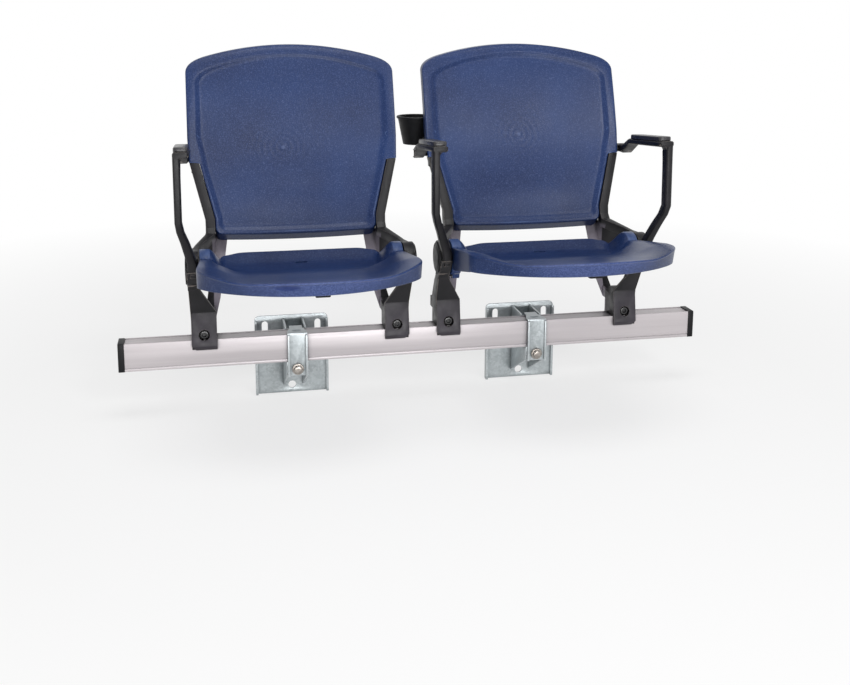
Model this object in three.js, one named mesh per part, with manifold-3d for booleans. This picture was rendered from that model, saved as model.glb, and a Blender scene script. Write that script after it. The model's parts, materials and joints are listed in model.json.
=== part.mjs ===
// Two tip-up stadium seats on one extruded beam, carried by two wall brackets.
// Millimetres. X runs along the beam, Y points back to the wall, Z points up.
// While modelling, X = 0 is the middle of the beam, Y = 0 its front face and Z = 0 its top.
import * as THREE from 'three';
import { mergeVertices } from 'three/addons/utils/BufferGeometryUtils.js';
import Module from 'manifold-3d';

const wasm = await Module();
wasm.setup();

// General
const fit = 0.3;              // running and seating clearance
const overrun = 4;            // how far a cutting body runs past what it cuts
const weld = 1e-4;            // corners nearer than this are one corner
const roundSides = 12;        // sides of a small round
const drumSides = 24;         // sides of a large round
const quarterTurn = 90;       // degrees

// Layout. The widths of a seat and its standards follow the pan's width at the hinge.
const panHingeHalf = 203;
const seatGap = 102;          // between the ears of neighbouring pans
const seatPitch = 2 * panHingeHalf + seatGap;
const seatShift = 3;          // both seats, along the beam
const footSet = 4.5;          // middle of a foot, in from the ear's outer face
const bracketPitch = 516;     // middle of one wall bracket to the other
const bracketShift = -4;      // both brackets, along the beam

// Beam
const beamLength = 1216;
const beamHeight = 58;
const beamDepth = 42;
const beamWall = 3;
const beamLip = 4;            // width of the raised lips along the top
const beamLipRise = 1.5;
const beamLineHeight = 6.5;   // the line along the front, above the bottom
const beamLineWidth = 1.4;
const beamLineDepth = 0.8;

// End caps of the beam
const capThickness = 12;
const capProud = 1;
const capRound = 3;
const capPlugLength = 18;

// Foot of a standard, astride the beam
const footWidth = 51;
const footLipBottom = -21;
const footLipFront = -7;
const footNose = 4;           // how far the bottom edge leans back
const footNoseHeight = 8;
const footCreaseY = 4;
const footCreaseZ = 56;
const footRearReach = 4;      // the foot runs this far past the beam's rear face
const footRearY = beamDepth + footRearReach;
const footRearZ = 28;
const footSaddleY = 24;
const footSaddleZ = 42;
const footCorner = 9;         // chamfer at the outer bottom corner
const boltHeight = 10;        // foot bolt above the beam

// Foot bolt and clamp jaw
const boltRadius = 5;
const boltHeadRadius = 8;
const boltHeadLength = 9;
const boltSocketRadius = 4.6;
const boltSocketDepth = 5;
const boltRecessRadius = 11;
const boltSeatY = 9;          // floor of the recess in the foot
const jawWidth = 45;
const jawDepth = 18;          // clamp jaw behind the beam
const jawRearY = beamDepth + jawDepth;
const jawBottomZ = -20;
const jawChamfer = 5;

// Neck of a standard, a channel open towards the seat
const wallPlate = 5;          // wall of the casting
const neckCreaseY = -24;
const neckCreaseZ = 110;
const neckTopY = -63;
const neckTopZ = 157;
const neckLean = 4;           // the neck's outer face moves out by this at the hub
const neckCreaseWidth = 22;   // width of the front flange at its upper crease
const webRearZ = 33;          // lower end of the web's rear edge, at the strut
const webElbowZ = 74;
const webElbowY = 36;
const webHeelZ = 99;
const webHeelY = 18;
const neckFlangeWidth = 18;

// Hub and hinge
const hubY = -20;
const hubZ = 155;
const hubRadius = 35.5;
const hubWidth = 22.5;
const hubGap = 2.5;           // between ear and hub
const hubInner = panHingeHalf + hubGap;
const hubCapRadius = 32;
const hubCapProud = 3.6;
const hubCapSeat = 2;
const hubCapDome = 1.2;
const pinRadius = 6;
const pinHeadRadius = 10;
const pinHeadLength = 2.6;
const bushRadius = 9;
const bushFlangeRadius = 15;
const bushFlange = 1.9;
const socketDepth = 22;       // armrest socket, front to back
const socketTongue = 13;
const tongueWidth = 11;
const tongueDepth = 10;

// Strut behind the hub
const strutWidth = 27;
const strutFootReach = 20;    // foot of the strut behind the beam
const strutFootY = beamDepth + strutFootReach;
const strutKneeY = 79.8;
const strutKneeZ = 65.5;
const strutTopY = 116;
const strutTopZ = 196;
const strutTopSet = 33;       // outer edge of the strut's top, in from the ear
const strutTopOuter = panHingeHalf - strutTopSet;

// Arm and upright of a standard
const armWidth = 19.5;
const armNeckWidth = 10;      // where the arm leaves the hub
const armDepth = 20;
const armTopZ = 187;
const armBendSet = 14;        // outer side of the bend, in from the ear
const armBendOuter = panHingeHalf - armBendSet;
const armBendY = 88;
const armBendZ = 208;
const uprightReach = 15;      // outer side of the upright, out from the ear
const uprightOuter = panHingeHalf + uprightReach;
const uprightDepth = 22;
const uprightStepZ = 345;
const uprightTopZ = 430;
const spineSetBack = 3.5;     // the part behind the shell, in from the upright's outer side
const spineOuter = uprightOuter - spineSetBack;
const spineWidth = 15.5;
const spineDepth = 14;
const webPlateThickness = 4;

// Pan stop, a lug on the ear against a rubber buffer
const lugReach = 51;
const lugSet = 25;            // inner side of the lug, in from the ear's outer face
const lugInner = panHingeHalf - lugSet;
const lugWidth = 15;
const lugThickness = 9;
const lugAngle = 19;          // degrees behind straight down
const bufferWidth = 14;
const bufferThickness = 7;
const bufferHeight = 12;
const panTips = { left: 0, right: 1.9 };  // degrees that a pan's front rests above the plain stop
const ledgeThickness = 8;
const ledgeHeight = 15;

// Back shell
const backReachOut = 18;      // widest half of the back, out from the ear
const backHalfWidth = panHingeHalf + backReachOut;
const backTopZ = 586;
const backBottomZ = 183;
const backLipZ = 199;
const backDomeShare = 0.805;  // the domed top edge's share of the width
const backDomeHalf = backHalfWidth * backDomeShare;
const backDomeDrop = 24;
const backCorner = 34;
const backStepTaper = 2;      // each side draws in by this down to the step
const backLip = 16;
const backGrid = 110;         // spacing of the lines that carry the curved face
const backFootSet = 33.5;     // half the bottom edge, in from the ear
const backFootHalf = panHingeHalf - backFootSet;
const backBottomBow = 5;
const backFootCorner = 14;
const backSkin = 5;
const backRim = 22;           // depth of the rim behind the front
const backRimWall = 4;
const backBorder = 23;        // width of the border around the panel
const backRecess = 5;
const backDish = 10;
const backStepY = 119.5;      // front of the back where the sides step in
const backSlope = 0.25;
const backCurve = 0.00035;
const backRibShare = 0.38;    // upright ribs, as a share of half the width
const backRibPitch = backHalfWidth * backRibShare;
const backRibWall = 3;
const backCrossShares = [0.3, 0.7];  // heights of the level ribs
const backBossRadius = 9;
const backScrewRadius = 3.5;
const backScrewHead = 7;
const backScrewHeadLength = 4.5;
const backScrewDepth = 7;
const backScrewZ = 395;
const backScrewLean = 2.4;    // the head stands off the sloping spine by this
const linkNotchLow = 341;
const linkNotchHigh = 368;

// Pan
const panFrontY = -338;
const panFrontZ = 197;
const panTipY = -232;
const panTipReach = 7;        // widest half of the front, out from the ear
const panTipHalf = panHingeHalf + panTipReach;
const panTipCorner = 26;
const panFrontBow = 73.5;     // how far the round front falls back to its tips
const panRearY = 30;
const panRearSet = 45;        // half the rear edge, in from the ear
const panRearHalf = panHingeHalf - panRearSet;
const panRearZ = 171;
const panSlopeEndZ = 152;
const panValleyY = -45;
const panValleyZ = 150;
const panMidY = -190;
const panMidZ = 175;
const panSkin = 5;
const panFaceHeight = 26;
const panFaceLean = 16;       // the front face's foot is set back by this
const panSideLean = 1;
const panEase = 10;           // how far the floor's creases are softened
const panFall = 0.035;        // fall of the rim towards the hinge
const panSideRise = 6;
const panDishShare = 0.55;    // the dish starts to rise at this share of the width
const panDishHalf = panHingeHalf * panDishShare;
const panDishSet = 9;         // and ends this far in from the ear
const panDishEdge = panHingeHalf - panDishSet;
const earRadius = 42;
const earWidth = 28;
const earBoreDepth = 19;
const earRimWall = 5;
const earHubRadius = 14;
const panRibWall = 3;
const panRibShare = 0.37;   // ribs, as a share of half the width
const panRibPitch = panHingeHalf * panRibShare;
const panRibDrop = 24;
const drainWidth = 26;
const drainDepth = 5;

// Bumper under the front of a pan
const bumperWidth = 27;
const bumperDepth = 13;
const bumperHeight = 7;
const bumperY = -306;
const bumperShift = 10;
const bumperSunk = 3;

// Armrest
const restLeans = { 1: -3.8, 3: 5.4, 4: -0.4 };  // how far each armrest's top stands out from the mean
const restReach = 47;         // outer side of the armrest, out from the ear
const restOuter = panHingeHalf + restReach;
const restLegWidth = 14;
const restInner = restOuter - restLegWidth;
const restFootReach = 3;      // inner side of its foot, out from the ear
const restFootInner = panHingeHalf + restFootReach;
const restFootWidth = 20;
const restFootFront = -68;
const restLegDepth = 25;
const restLegFront = -107;
const restKneeZ = 262;
const restLegTopZ = 376;
const restBeamWidth = 31;
const restBeamInner = restOuter - restBeamWidth;
const restBeamFront = -104;
const restBeamRear = 62;
const restBeamTop = 398;
const restBeamFall = 14;      // the beam falls by this from front to rear
const restBeamHeight = 12;
const restFillet = 15;
const restChamfer = 3;
const restLinkY = 108;
const restLinkLow = 346;
const restLinkHigh = 366;
const restTailY = 146;
const padHeight = 9;
const padInset = 1.5;
const padFront = -98;
const padRear = 58;
const padCorner = 9;
const padBevel = 2.5;

// Wall bracket
const plateWidth = 158;
const plateTopZ = 9;
const plateBottomZ = -166;
const plateFrontY = 115;
const plateThickness = 5;
const plateFlange = 9;
const plateCorner = 10;
const plateShift = -3;
const slotWidth = 13;
const slotHeight = 26;
const slotSpacing = 114;
const slotTopZ = -3;
const wallHoleRadius = 8.5;
const wallHoleZ = -149;
const bracketWidth = 45;
const bracketWall = 4;
const bracketFootDrop = 30;   // lower front end of the arm, below the beam
const bracketFootZ = -beamHeight - bracketFootDrop;
const bracketHeelDrop = 90;   // lower end at the plate
const bracketHeelZ = -beamHeight - bracketHeelDrop;
const bracketTopZ = 3;
const strapWidth = 41;
const strapFlange = 5;
const strapHookWidth = 27;
const strapHookDrop = 14;
const embossLength = 22;
const embossWidth = 13;
const embossRise = 2;
const embossShares = [0.8, 0.5];  // how the pressing narrows to its top
const clampDrop = 15;         // strap bolt below the beam
const clampHeight = -beamHeight - clampDrop;
const clampRadius = 6;
const clampHeadRadius = 10;
const clampHeadLength = 8;
const clampWasherRadius = 12;
const clampWasher = 2.5;
const clampSlotTop = 13;      // the pointed slot reaches this far above the bolt
const nutRadius = 10.5;
const nutLength = 10;

// Cup holder behind the third standard
const cupSet = 21.5;          // the cup's axis, beside the spine that carries it
const cupY = 212;
const cupRimZ = 427;
const cupHeight = 63.5;
const cupTopRadius = 40;
const cupBottomRadius = 28.5;
const cupWall = 3;
const cupRimProud = 3;
const cupRimHeight = 5;
const cupDrainRadius = 4;
const cupArmHalf = 14;
const cupArmLow = 360;
const cupArmHigh = 384;

// Colours
const seatBlue = { color: 0x2c4680, roughness: 0.45, metalness: 0 };
const castBlack = { color: 0x26252a, roughness: 0.5, metalness: 0 };
const mouldBlack = { color: 0x1d1d20, roughness: 0.55, metalness: 0 };
const padBlack = { color: 0x2b2a2e, roughness: 0.65, metalness: 0 };
const rubberBlack = { color: 0x141416, roughness: 0.85, metalness: 0 };
const beamSilver = { color: 0xd2ccce, roughness: 0.4, metalness: 0.8 };
const zincGrey = { color: 0xbfc7ca, roughness: 0.45, metalness: 0.8 };
const boltSteel = { color: 0x8f8a86, roughness: 0.35, metalness: 0.9 };
const bushWhite = { color: 0xcfcfc8, roughness: 0.6, metalness: 0 };

// Turns a closed geometry into a solid, whichever way its faces wind.
function solid(geometry) {
  const bare = geometry.index ? geometry.toNonIndexed() : geometry.clone();
  bare.deleteAttribute('normal');
  bare.deleteAttribute('uv');
  const merged = mergeVertices(bare, weld);
  const vertProperties = new Float32Array(merged.attributes.position.array);
  const triVerts = new Uint32Array(merged.index.array);
  if (signedVolume(vertProperties, triVerts) < 0) {
    for (let i = 0; i < triVerts.length; i += 3) {
      const first = triVerts[i];
      triVerts[i] = triVerts[i + 1];
      triVerts[i + 1] = first;
    }
  }
  return new wasm.Manifold(new wasm.Mesh({ numProp: 3, vertProperties, triVerts }));
}

function signedVolume(points, faces) {
  const a = new THREE.Vector3();
  const b = new THREE.Vector3();
  const c = new THREE.Vector3();
  let total = 0;
  for (let i = 0; i < faces.length; i += 3) {
    a.fromArray(points, faces[i] * 3);
    b.fromArray(points, faces[i + 1] * 3);
    c.fromArray(points, faces[i + 2] * 3);
    total += a.dot(b.cross(c));
  }
  return total;
}

function geometryOf(body) {
  const mesh = body.getMesh();
  const geometry = new THREE.BufferGeometry();
  geometry.setAttribute('position', new THREE.BufferAttribute(mesh.vertProperties, 3));
  geometry.setIndex(new THREE.BufferAttribute(mesh.triVerts, 1));
  geometry.computeVertexNormals();
  return geometry;
}

function join(...bodies) {
  return bodies.flat().reduce((all, body) => all.add(body));
}

function cut(body, ...tools) {
  return tools.flat().reduce((rest, tool) => rest.subtract(tool), body);
}

// A flat outline pushed along one axis. The outline's two numbers are (y, z), (x, z) or (x, y).
function prism(plane, outline, from, to) {
  const shape = new THREE.Shape(outline.map(([a, b]) => new THREE.Vector2(a, b)));
  const geometry = new THREE.ExtrudeGeometry(shape, { depth: to - from, bevelEnabled: false });
  geometry.translate(0, 0, from);
  const axes = new THREE.Matrix4();
  const x = new THREE.Vector3(1, 0, 0);
  const y = new THREE.Vector3(0, 1, 0);
  const z = new THREE.Vector3(0, 0, 1);
  if (plane === 'yz') axes.makeBasis(y, z, x);
  if (plane === 'xz') axes.makeBasis(x, z, y);
  geometry.applyMatrix4(axes);
  return solid(geometry);
}

function box(x0, x1, y0, y1, z0, z1) {
  return prism('xy', [[x0, y0], [x1, y0], [x1, y1], [x0, y1]], z0, z1);
}

function circle(cx, cy, radius, sides = roundSides, turn = 0) {
  const points = [];
  for (let i = 0; i < sides; i += 1) {
    const angle = turn + (2 * Math.PI * i) / sides;
    points.push([cx + radius * Math.cos(angle), cy + radius * Math.sin(angle)]);
  }
  return points;
}

// Points on an arc about (cx, cy), angles in degrees.
function arc(cx, cy, radius, from, to, steps) {
  const points = [];
  for (let i = 0; i <= steps; i += 1) {
    const angle = THREE.MathUtils.degToRad(from + ((to - from) * i) / steps);
    points.push([cx + radius * Math.cos(angle), cy + radius * Math.sin(angle)]);
  }
  return points;
}

// A rectangle with round corners, its corners given by their two limits.
function roundedBox(a0, a1, b0, b1, radius, steps = 3) {
  return [
    ...arc(a1 - radius, b0 + radius, radius, -90, 0, steps),
    ...arc(a1 - radius, b1 - radius, radius, 0, 90, steps),
    ...arc(a0 + radius, b1 - radius, radius, 90, 180, steps),
    ...arc(a0 + radius, b0 + radius, radius, 180, 270, steps),
  ];
}

// A skin over closed rings of equal count, capped flat at both ends.
function loft(rings) {
  const count = rings[0].length;
  const points = rings.flat().map((p) => new THREE.Vector3(...p));
  const faces = [];
  for (let r = 0; r + 1 < rings.length; r += 1) {
    for (let i = 0; i < count; i += 1) {
      const j = (i + 1) % count;
      const low = r * count;
      const high = low + count;
      faces.push(low + i, low + j, high + j, low + i, high + j, high + i);
    }
  }
  const last = (rings.length - 1) * count;
  for (let i = 1; i + 1 < count; i += 1) {
    faces.push(0, i + 1, i, last, last + i, last + i + 1);
  }
  const geometry = new THREE.BufferGeometry().setFromPoints(points);
  geometry.setIndex(faces);
  return solid(geometry);
}

// A loft of level rectangles: [z, x0, x1, y0, y1] with corners cut by `corner`.
function tower(levels, corner = 0) {
  return loft(levels.map(([z, x0, x1, y0, y1]) => cutCorners(x0, x1, y0, y1, corner)
    .map(([x, y]) => [x, y, z])));
}

// A loft of upright rectangles that face along Y: [y, x0, x1, z0, z1].
function tunnel(stations, corner = 0) {
  return loft(stations.map(([y, x0, x1, z0, z1]) => cutCorners(x0, x1, z0, z1, corner)
    .map(([x, z]) => [x, y, z])));
}

function cutCorners(a0, a1, b0, b1, corner) {
  if (corner === 0) return [[a0, b0], [a1, b0], [a1, b1], [a0, b1]];
  return [
    [a0 + corner, b0], [a1 - corner, b0], [a1, b0 + corner], [a1, b1 - corner],
    [a1 - corner, b1], [a0 + corner, b1], [a0, b1 - corner], [a0, b0 + corner],
  ];
}

// A strip of rectangles whose front edge is known: [x0, x1, y, z, dy, dz].
// (dy, dz) leads from the front edge to the rear edge.
function strip(stations) {
  return loft(stations.map(([x0, x1, y, z, dy, dz]) => [
    [x0, y, z], [x1, y, z], [x1, y + dy, z + dz], [x0, y + dy, z + dz],
  ]));
}

// The space between two height functions over a grid of lines.
function between(as, bs, low, high, place) {
  const rows = as.length;
  const columns = bs.length;
  const points = [];
  for (const height of [low, high]) {
    for (const a of as) {
      for (const b of bs) points.push(new THREE.Vector3(...place(a, b, height(a, b))));
    }
  }
  const at = (layer, i, j) => layer * rows * columns + i * columns + j;
  const faces = [];
  const quad = (a, b, c, d) => faces.push(a, b, c, a, c, d);
  for (let i = 0; i + 1 < rows; i += 1) {
    for (let j = 0; j + 1 < columns; j += 1) {
      quad(at(0, i, j), at(0, i, j + 1), at(0, i + 1, j + 1), at(0, i + 1, j));
      quad(at(1, i, j), at(1, i + 1, j), at(1, i + 1, j + 1), at(1, i, j + 1));
    }
  }
  for (let j = 0; j + 1 < columns; j += 1) {
    quad(at(0, 0, j), at(1, 0, j), at(1, 0, j + 1), at(0, 0, j + 1));
    quad(at(0, rows - 1, j + 1), at(1, rows - 1, j + 1), at(1, rows - 1, j), at(0, rows - 1, j));
  }
  for (let i = 0; i + 1 < rows; i += 1) {
    quad(at(0, i + 1, 0), at(1, i + 1, 0), at(1, i, 0), at(0, i, 0));
    const end = columns - 1;
    quad(at(0, i, end), at(1, i, end), at(1, i + 1, end), at(0, i + 1, end));
  }
  const geometry = new THREE.BufferGeometry().setFromPoints(points);
  geometry.setIndex(faces);
  return solid(geometry);
}

function spread(from, to, steps) {
  return Array.from({ length: steps + 1 }, (_, i) => from + ((to - from) * i) / steps);
}

function smooth(value, from, to) {
  return THREE.MathUtils.smoothstep(value, from, to);
}

// The value at `at` on a run of [place, value] points.
function follow(run, at) {
  for (let i = 1; i < run.length; i += 1) {
    if (at <= run[i][0] || i === run.length - 1) {
      const share = (at - run[i - 1][0]) / (run[i][0] - run[i - 1][0]);
      return run[i - 1][1] + share * (run[i][1] - run[i - 1][1]);
    }
  }
  return run[0][1];
}

// The limits a and b on one side of the middle, in rising order.
function sided(side, a, b) {
  return side > 0 ? [a, b] : [-b, -a];
}

function mirrored(body) {
  return solid(geometryOf(body).scale(-1, 1, 1));
}

// Beam
function beamProfile() {
  const lineTop = -beamHeight + beamLineHeight + beamLineWidth / 2;
  const lineBottom = lineTop - beamLineWidth;
  const grooveZ = -beamLipRise;
  return [
    [0, -beamHeight], [0, lineBottom], [beamLineDepth, lineBottom], [beamLineDepth, lineTop],
    [0, lineTop], [0, 0], [beamLip, 0], [beamLip, grooveZ],
    [beamDepth - beamLip, grooveZ], [beamDepth - beamLip, 0], [beamDepth, 0],
    [beamDepth, -beamHeight],
  ];
}

function makeBeam() {
  const half = beamLength / 2;
  const hollow = roundedBox(
    beamWall, beamDepth - beamWall, beamWall - beamHeight, -beamWall - beamLipRise, beamWall / 2, 2,
  );
  return cut(
    prism('yz', beamProfile(), -half, half),
    prism('yz', hollow, -half - overrun, half + overrun),
  );
}

// The right cap: a plate over the beam's end and a plug inside it.
function makeCap() {
  const end = beamLength / 2;
  const plate = roundedBox(-capProud, beamDepth + capProud, -beamHeight - capProud, capProud, capRound);
  const inner = beamWall + fit;
  const plug = roundedBox(
    inner, beamDepth - inner, inner - beamHeight, -inner - beamLipRise, beamWall / 2, 2,
  );
  const plugHollow = roundedBox(
    inner + beamWall, beamDepth - inner - beamWall,
    inner + beamWall - beamHeight, -inner - beamWall - beamLipRise, beamWall / 2, 2,
  );
  const plateStart = end + fit;
  return join(
    prism('yz', plate, plateStart, plateStart + capThickness),
    cut(
      prism('yz', plug, end - capPlugLength, plateStart + capRound),
      prism('yz', plugHollow, end - capPlugLength - overrun, plateStart),
    ),
  );
}

// Standard: foot, neck, hub, strut, arm and upright, for the right side of a seat
const footMiddle = panHingeHalf - footSet;
const footInner = footMiddle - footWidth / 2;
const footOuter = footMiddle + footWidth / 2;
const hubOuter = hubInner + hubWidth;

function makeFoot() {
  const wallBack = footCreaseY + wallPlate;
  const profile = [
    [-fit, fit], [-fit, footLipBottom], [footLipFront + footNose, footLipBottom],
    [footLipFront, footLipBottom + footNoseHeight], [footCreaseY, footCreaseZ],
    [wallBack, footCreaseZ], [footSaddleY, footSaddleZ],
    [strutFootY + wallPlate, footCreaseZ - wallPlate], [strutFootY + wallPlate, footRearZ],
    [footRearY, footRearZ], [footRearY, fit],
  ];
  const block = prism('yz', profile, footInner, footOuter);
  const corner = prism('xz', [
    [footOuter - footCorner, footLipBottom], [footOuter + overrun, footLipBottom - overrun],
    [footOuter + overrun, footLipBottom + footCorner + overrun],
    [footOuter, footLipBottom + footCorner],
  ], footLipFront - overrun, -fit);
  const bore = prism('xz', circle(footMiddle, boltHeight, boltRadius + fit),
    footLipFront - overrun, footRearY + overrun);
  const recess = prism('xz', circle(footMiddle, boltHeight, boltRecessRadius),
    footLipFront - overrun, boltSeatY);
  return cut(block, corner, bore, recess);
}

// Front flange of the neck, narrowing from the foot to the socket.
function makeNeckFlange() {
  const dy = wallPlate;
  const creaseOuter = footOuter + neckLean / 2;
  return strip([
    [footInner, footOuter, footCreaseY, footCreaseZ - wallPlate, dy, 0],
    [footInner, footOuter, footCreaseY, footCreaseZ, dy, 0],
    [creaseOuter - neckCreaseWidth, creaseOuter, neckCreaseY, neckCreaseZ, dy, dy / 2],
    [hubInner + fit, hubOuter, neckTopY, neckTopZ, dy, 0],
  ]);
}

// Outer web of the neck and the flange along its rear edge.
function makeNeckWeb() {
  const front = [[footCreaseZ, footCreaseY], [neckCreaseZ, neckCreaseY], [neckTopZ, neckTopY]];
  const rear = [
    [webRearZ, strutFootY], [webElbowZ, webElbowY], [webHeelZ, webHeelY], [hubZ - hubRadius / 2, hubY],
  ];
  const low = footSaddleZ - wallPlate;
  const levels = [low, footCreaseZ, webElbowZ, webHeelZ, neckCreaseZ, hubZ - hubRadius / 2];
  const outer = (z) => footOuter + (neckLean * (z - low)) / (hubZ - low);
  const web = tower(levels.map((z) => [
    z, outer(z) - wallPlate, outer(z), follow(front, Math.max(z, footCreaseZ)) + fit,
    follow(rear, z),
  ]));
  const flange = strip([webRearZ + wallPlate, webElbowZ, webHeelZ, neckCreaseZ].map((z) => [
    outer(z) - neckFlangeWidth, outer(z), follow(rear, z) - wallPlate, z, wallPlate, 0,
  ]));
  return [web, flange];
}

function makeHub() {
  const disc = prism('yz', circle(hubY, hubZ, hubRadius, drumSides), hubInner, hubOuter);
  const socket = tower([
    [neckCreaseZ, hubInner, hubOuter - fit, neckCreaseY, neckCreaseY + socketDepth],
    [neckTopZ, hubInner, hubOuter, neckTopY - wallPlate, neckTopY - wallPlate + socketDepth],
  ]);
  return join(disc, socket);
}

function hubBores() {
  const end = hubOuter + overrun;
  const headSeat = hubOuter - hubCapSeat - pinHeadLength;
  return [
    prism('yz', circle(hubY, hubZ, pinRadius + fit), hubInner - overrun, end),
    prism('yz', circle(hubY, hubZ, pinHeadRadius + fit), headSeat, end),
    prism('yz', circle(hubY, hubZ, hubCapRadius + fit, drumSides), hubOuter - hubCapSeat, end),
  ];
}

function tongue(gap, from, to) {
  const middleX = restFootInner + restFootWidth / 2;
  const middleY = restFootFront + socketDepth / 2;
  return box(
    middleX - tongueWidth / 2 - gap, middleX + tongueWidth / 2 + gap,
    middleY - tongueDepth / 2 - gap, middleY + tongueDepth / 2 + gap, from, to,
  );
}

function makeStrut() {
  const top = strutTopOuter;
  const kneeShare = (strutKneeY - strutFootY) / (strutTopY - strutFootY);
  const footEdge = footInner + strutWidth;
  const kneeEdge = footEdge + (top - footEdge) * kneeShare;
  return strip([
    [footEdge - strutWidth, footEdge, strutFootY, footRearZ, wallPlate, 0],
    [kneeEdge - strutWidth, kneeEdge, strutKneeY, strutKneeZ, wallPlate, -wallPlate / 2],
    [top - strutWidth, top, strutTopY, strutTopZ, wallPlate, 0],
    [top - strutWidth, top + armWidth / 2, strutTopY, armBendZ, wallPlate, 0],
  ]);
}

// How far the hidden part of an upright stands behind the front of the back.
const spineSet = backSkin + backRecess + backDish / 4 + 2 * fit;

function backFront(z) {
  const above = Math.max(0, z - uprightStepZ);
  return backStepY + backSlope * (z - uprightStepZ) + backCurve * above * above;
}

// Arm from the hub to the bend and the upright up to where the shell's sides step in.
function makeArm() {
  const bendDrop = armBendZ - armTopZ;
  const bendOuterY = backFront(armBendZ + uprightDepth);
  return strip([
    [hubInner, hubOuter, hubY, armTopZ, 0, -armDepth],
    [hubInner, hubInner + armNeckWidth, hubY + hubRadius - wallPlate, armTopZ + bendDrop / 8, 0, -armDepth],
    [hubInner - armWidth / 4, hubInner - armWidth / 4 + armNeckWidth, hubY + hubRadius + armDepth / 2,
      armTopZ + bendDrop / 4, armDepth / 8, -armDepth],
    [armBendOuter - armWidth + fit, armBendOuter + fit, armBendY - armDepth / 2, armBendZ - bendDrop / 4,
      armDepth / 2, -armDepth],
    [armBendOuter - armWidth, armBendOuter, armBendY, armBendZ + bendDrop / 4, armDepth, -armDepth / 2],
    [armBendOuter - armWidth, armBendOuter + fit, bendOuterY, armBendZ + uprightDepth, uprightDepth, 0],
    [uprightOuter - armWidth + fit, uprightOuter, backFront(uprightStepZ - fit), uprightStepZ - fit,
      uprightDepth, 0],
  ]);
}

// The part of the upright that is hidden behind the shell.
function makeSpine() {
  const lows = [uprightStepZ - uprightDepth, uprightStepZ];
  const levels = [...lows, ...spread(uprightStepZ, uprightTopZ, 3).slice(1)];
  return strip(levels.map((z) => [
    spineOuter - spineWidth, spineOuter, backFront(z) + spineSet, z, spineDepth, 0,
  ]));
}

// Thin plate that fills the corner between the arm and the strut.
function makeCornerWeb() {
  const thick = webPlateThickness;
  const plate = loft([
    [
      [hubInner + thick, hubY + hubRadius - thick, armTopZ - armDepth],
      [armBendOuter - armWidth / 2, armBendY, armBendZ - armDepth],
      [strutTopOuter - thick, strutTopY, strutTopZ],
      [strutTopOuter + thick, strutKneeY + armWidth, neckCreaseZ + armDepth],
      [hubInner + thick, hubY + hubRadius + thick, hubZ - armDepth],
    ],
    [
      [hubInner + 2 * thick, hubY + hubRadius, armTopZ - armDepth],
      [armBendOuter, armBendY + thick, armBendZ - armDepth],
      [strutTopOuter, strutTopY + thick, strutTopZ],
      [strutTopOuter + 2 * thick, strutKneeY + armWidth + thick, neckCreaseZ + armDepth],
      [hubInner + 2 * thick, hubY + hubRadius + 2 * thick, hubZ - armDepth],
    ],
  ]);
  return plate;
}

// Direction of the pan's stop lug, seen from the side.
const lugTurn = THREE.MathUtils.degToRad(lugAngle);
const lugDown = { y: Math.sin(lugTurn), z: -Math.cos(lugTurn) };
const lugBack = { y: Math.cos(lugTurn), z: Math.sin(lugTurn) };

// A point beside the lug: `out` along its length and `across` behind its middle.
function lugPoint(out, across) {
  return [
    hubY + lugDown.y * out + lugBack.y * across,
    hubZ + lugDown.z * out + lugBack.z * across,
  ];
}

function lugOutline(out0, out1, across0, across1) {
  return [
    lugPoint(out0, across0), lugPoint(out1, across0), lugPoint(out1, across1), lugPoint(out0, across1),
  ];
}

const bufferFront = lugThickness / 2 + fit;
const bufferBack = bufferFront + bufferThickness;
const ledgeFront = bufferBack + fit;

function makeLedge() {
  const out = lugReach + fit;
  const outline = lugOutline(out - ledgeHeight + wallPlate, out + wallPlate, ledgeFront,
    ledgeFront + ledgeThickness);
  return prism('yz', outline, lugInner, footOuter);
}

// A thicker buffer holds the pan higher: its face follows the lug, `tip` degrees further forward.
function makeBuffer(tip) {
  const out = lugReach + fit + wallPlate;
  const x0 = lugInner + (lugWidth - bufferWidth) / 2;
  const forward = Math.tan(THREE.MathUtils.degToRad(tip));
  const outline = lugOutline(out - bufferHeight, out, bufferFront, bufferBack);
  const face = [out - bufferHeight, out].map((reach) => lugPoint(reach, bufferFront - reach * forward));
  return prism('yz', [...face, ...outline.slice(2)], x0, x0 + bufferWidth);
}

// A pan turned about the hinge so that its front stands `tip` degrees higher.
function tipped(body, tip) {
  const turn = new THREE.Matrix4().makeTranslation(0, hubY, hubZ)
    .multiply(new THREE.Matrix4().makeRotationX(-THREE.MathUtils.degToRad(tip)))
    .multiply(new THREE.Matrix4().makeTranslation(0, -hubY, -hubZ));
  return solid(geometryOf(body).applyMatrix4(turn));
}

function makeStandard() {
  const screw = prism('xz', circle(spineOuter - spineWidth / 2, backScrewZ, backScrewRadius + fit),
    backFront(backScrewZ), backFront(backScrewZ) + backRim + overrun * 2);
  const solidPart = join(
    makeFoot(), makeNeckFlange(), makeNeckWeb(), makeHub(), makeStrut(), makeArm(), makeSpine(),
    makeCornerWeb(), makeLedge(),
  );
  const pocket = tongue(fit, neckTopZ - socketTongue - fit, neckTopZ + overrun);
  const restSpace = box(hubInner - overrun, hubOuter + overrun, restFootFront - overrun,
    restFootFront + socketDepth + fit, neckTopZ, hubZ + hubRadius + overrun);
  return cut(solidPart, ...hubBores(), pocket, screw, restSpace);
}

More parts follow.
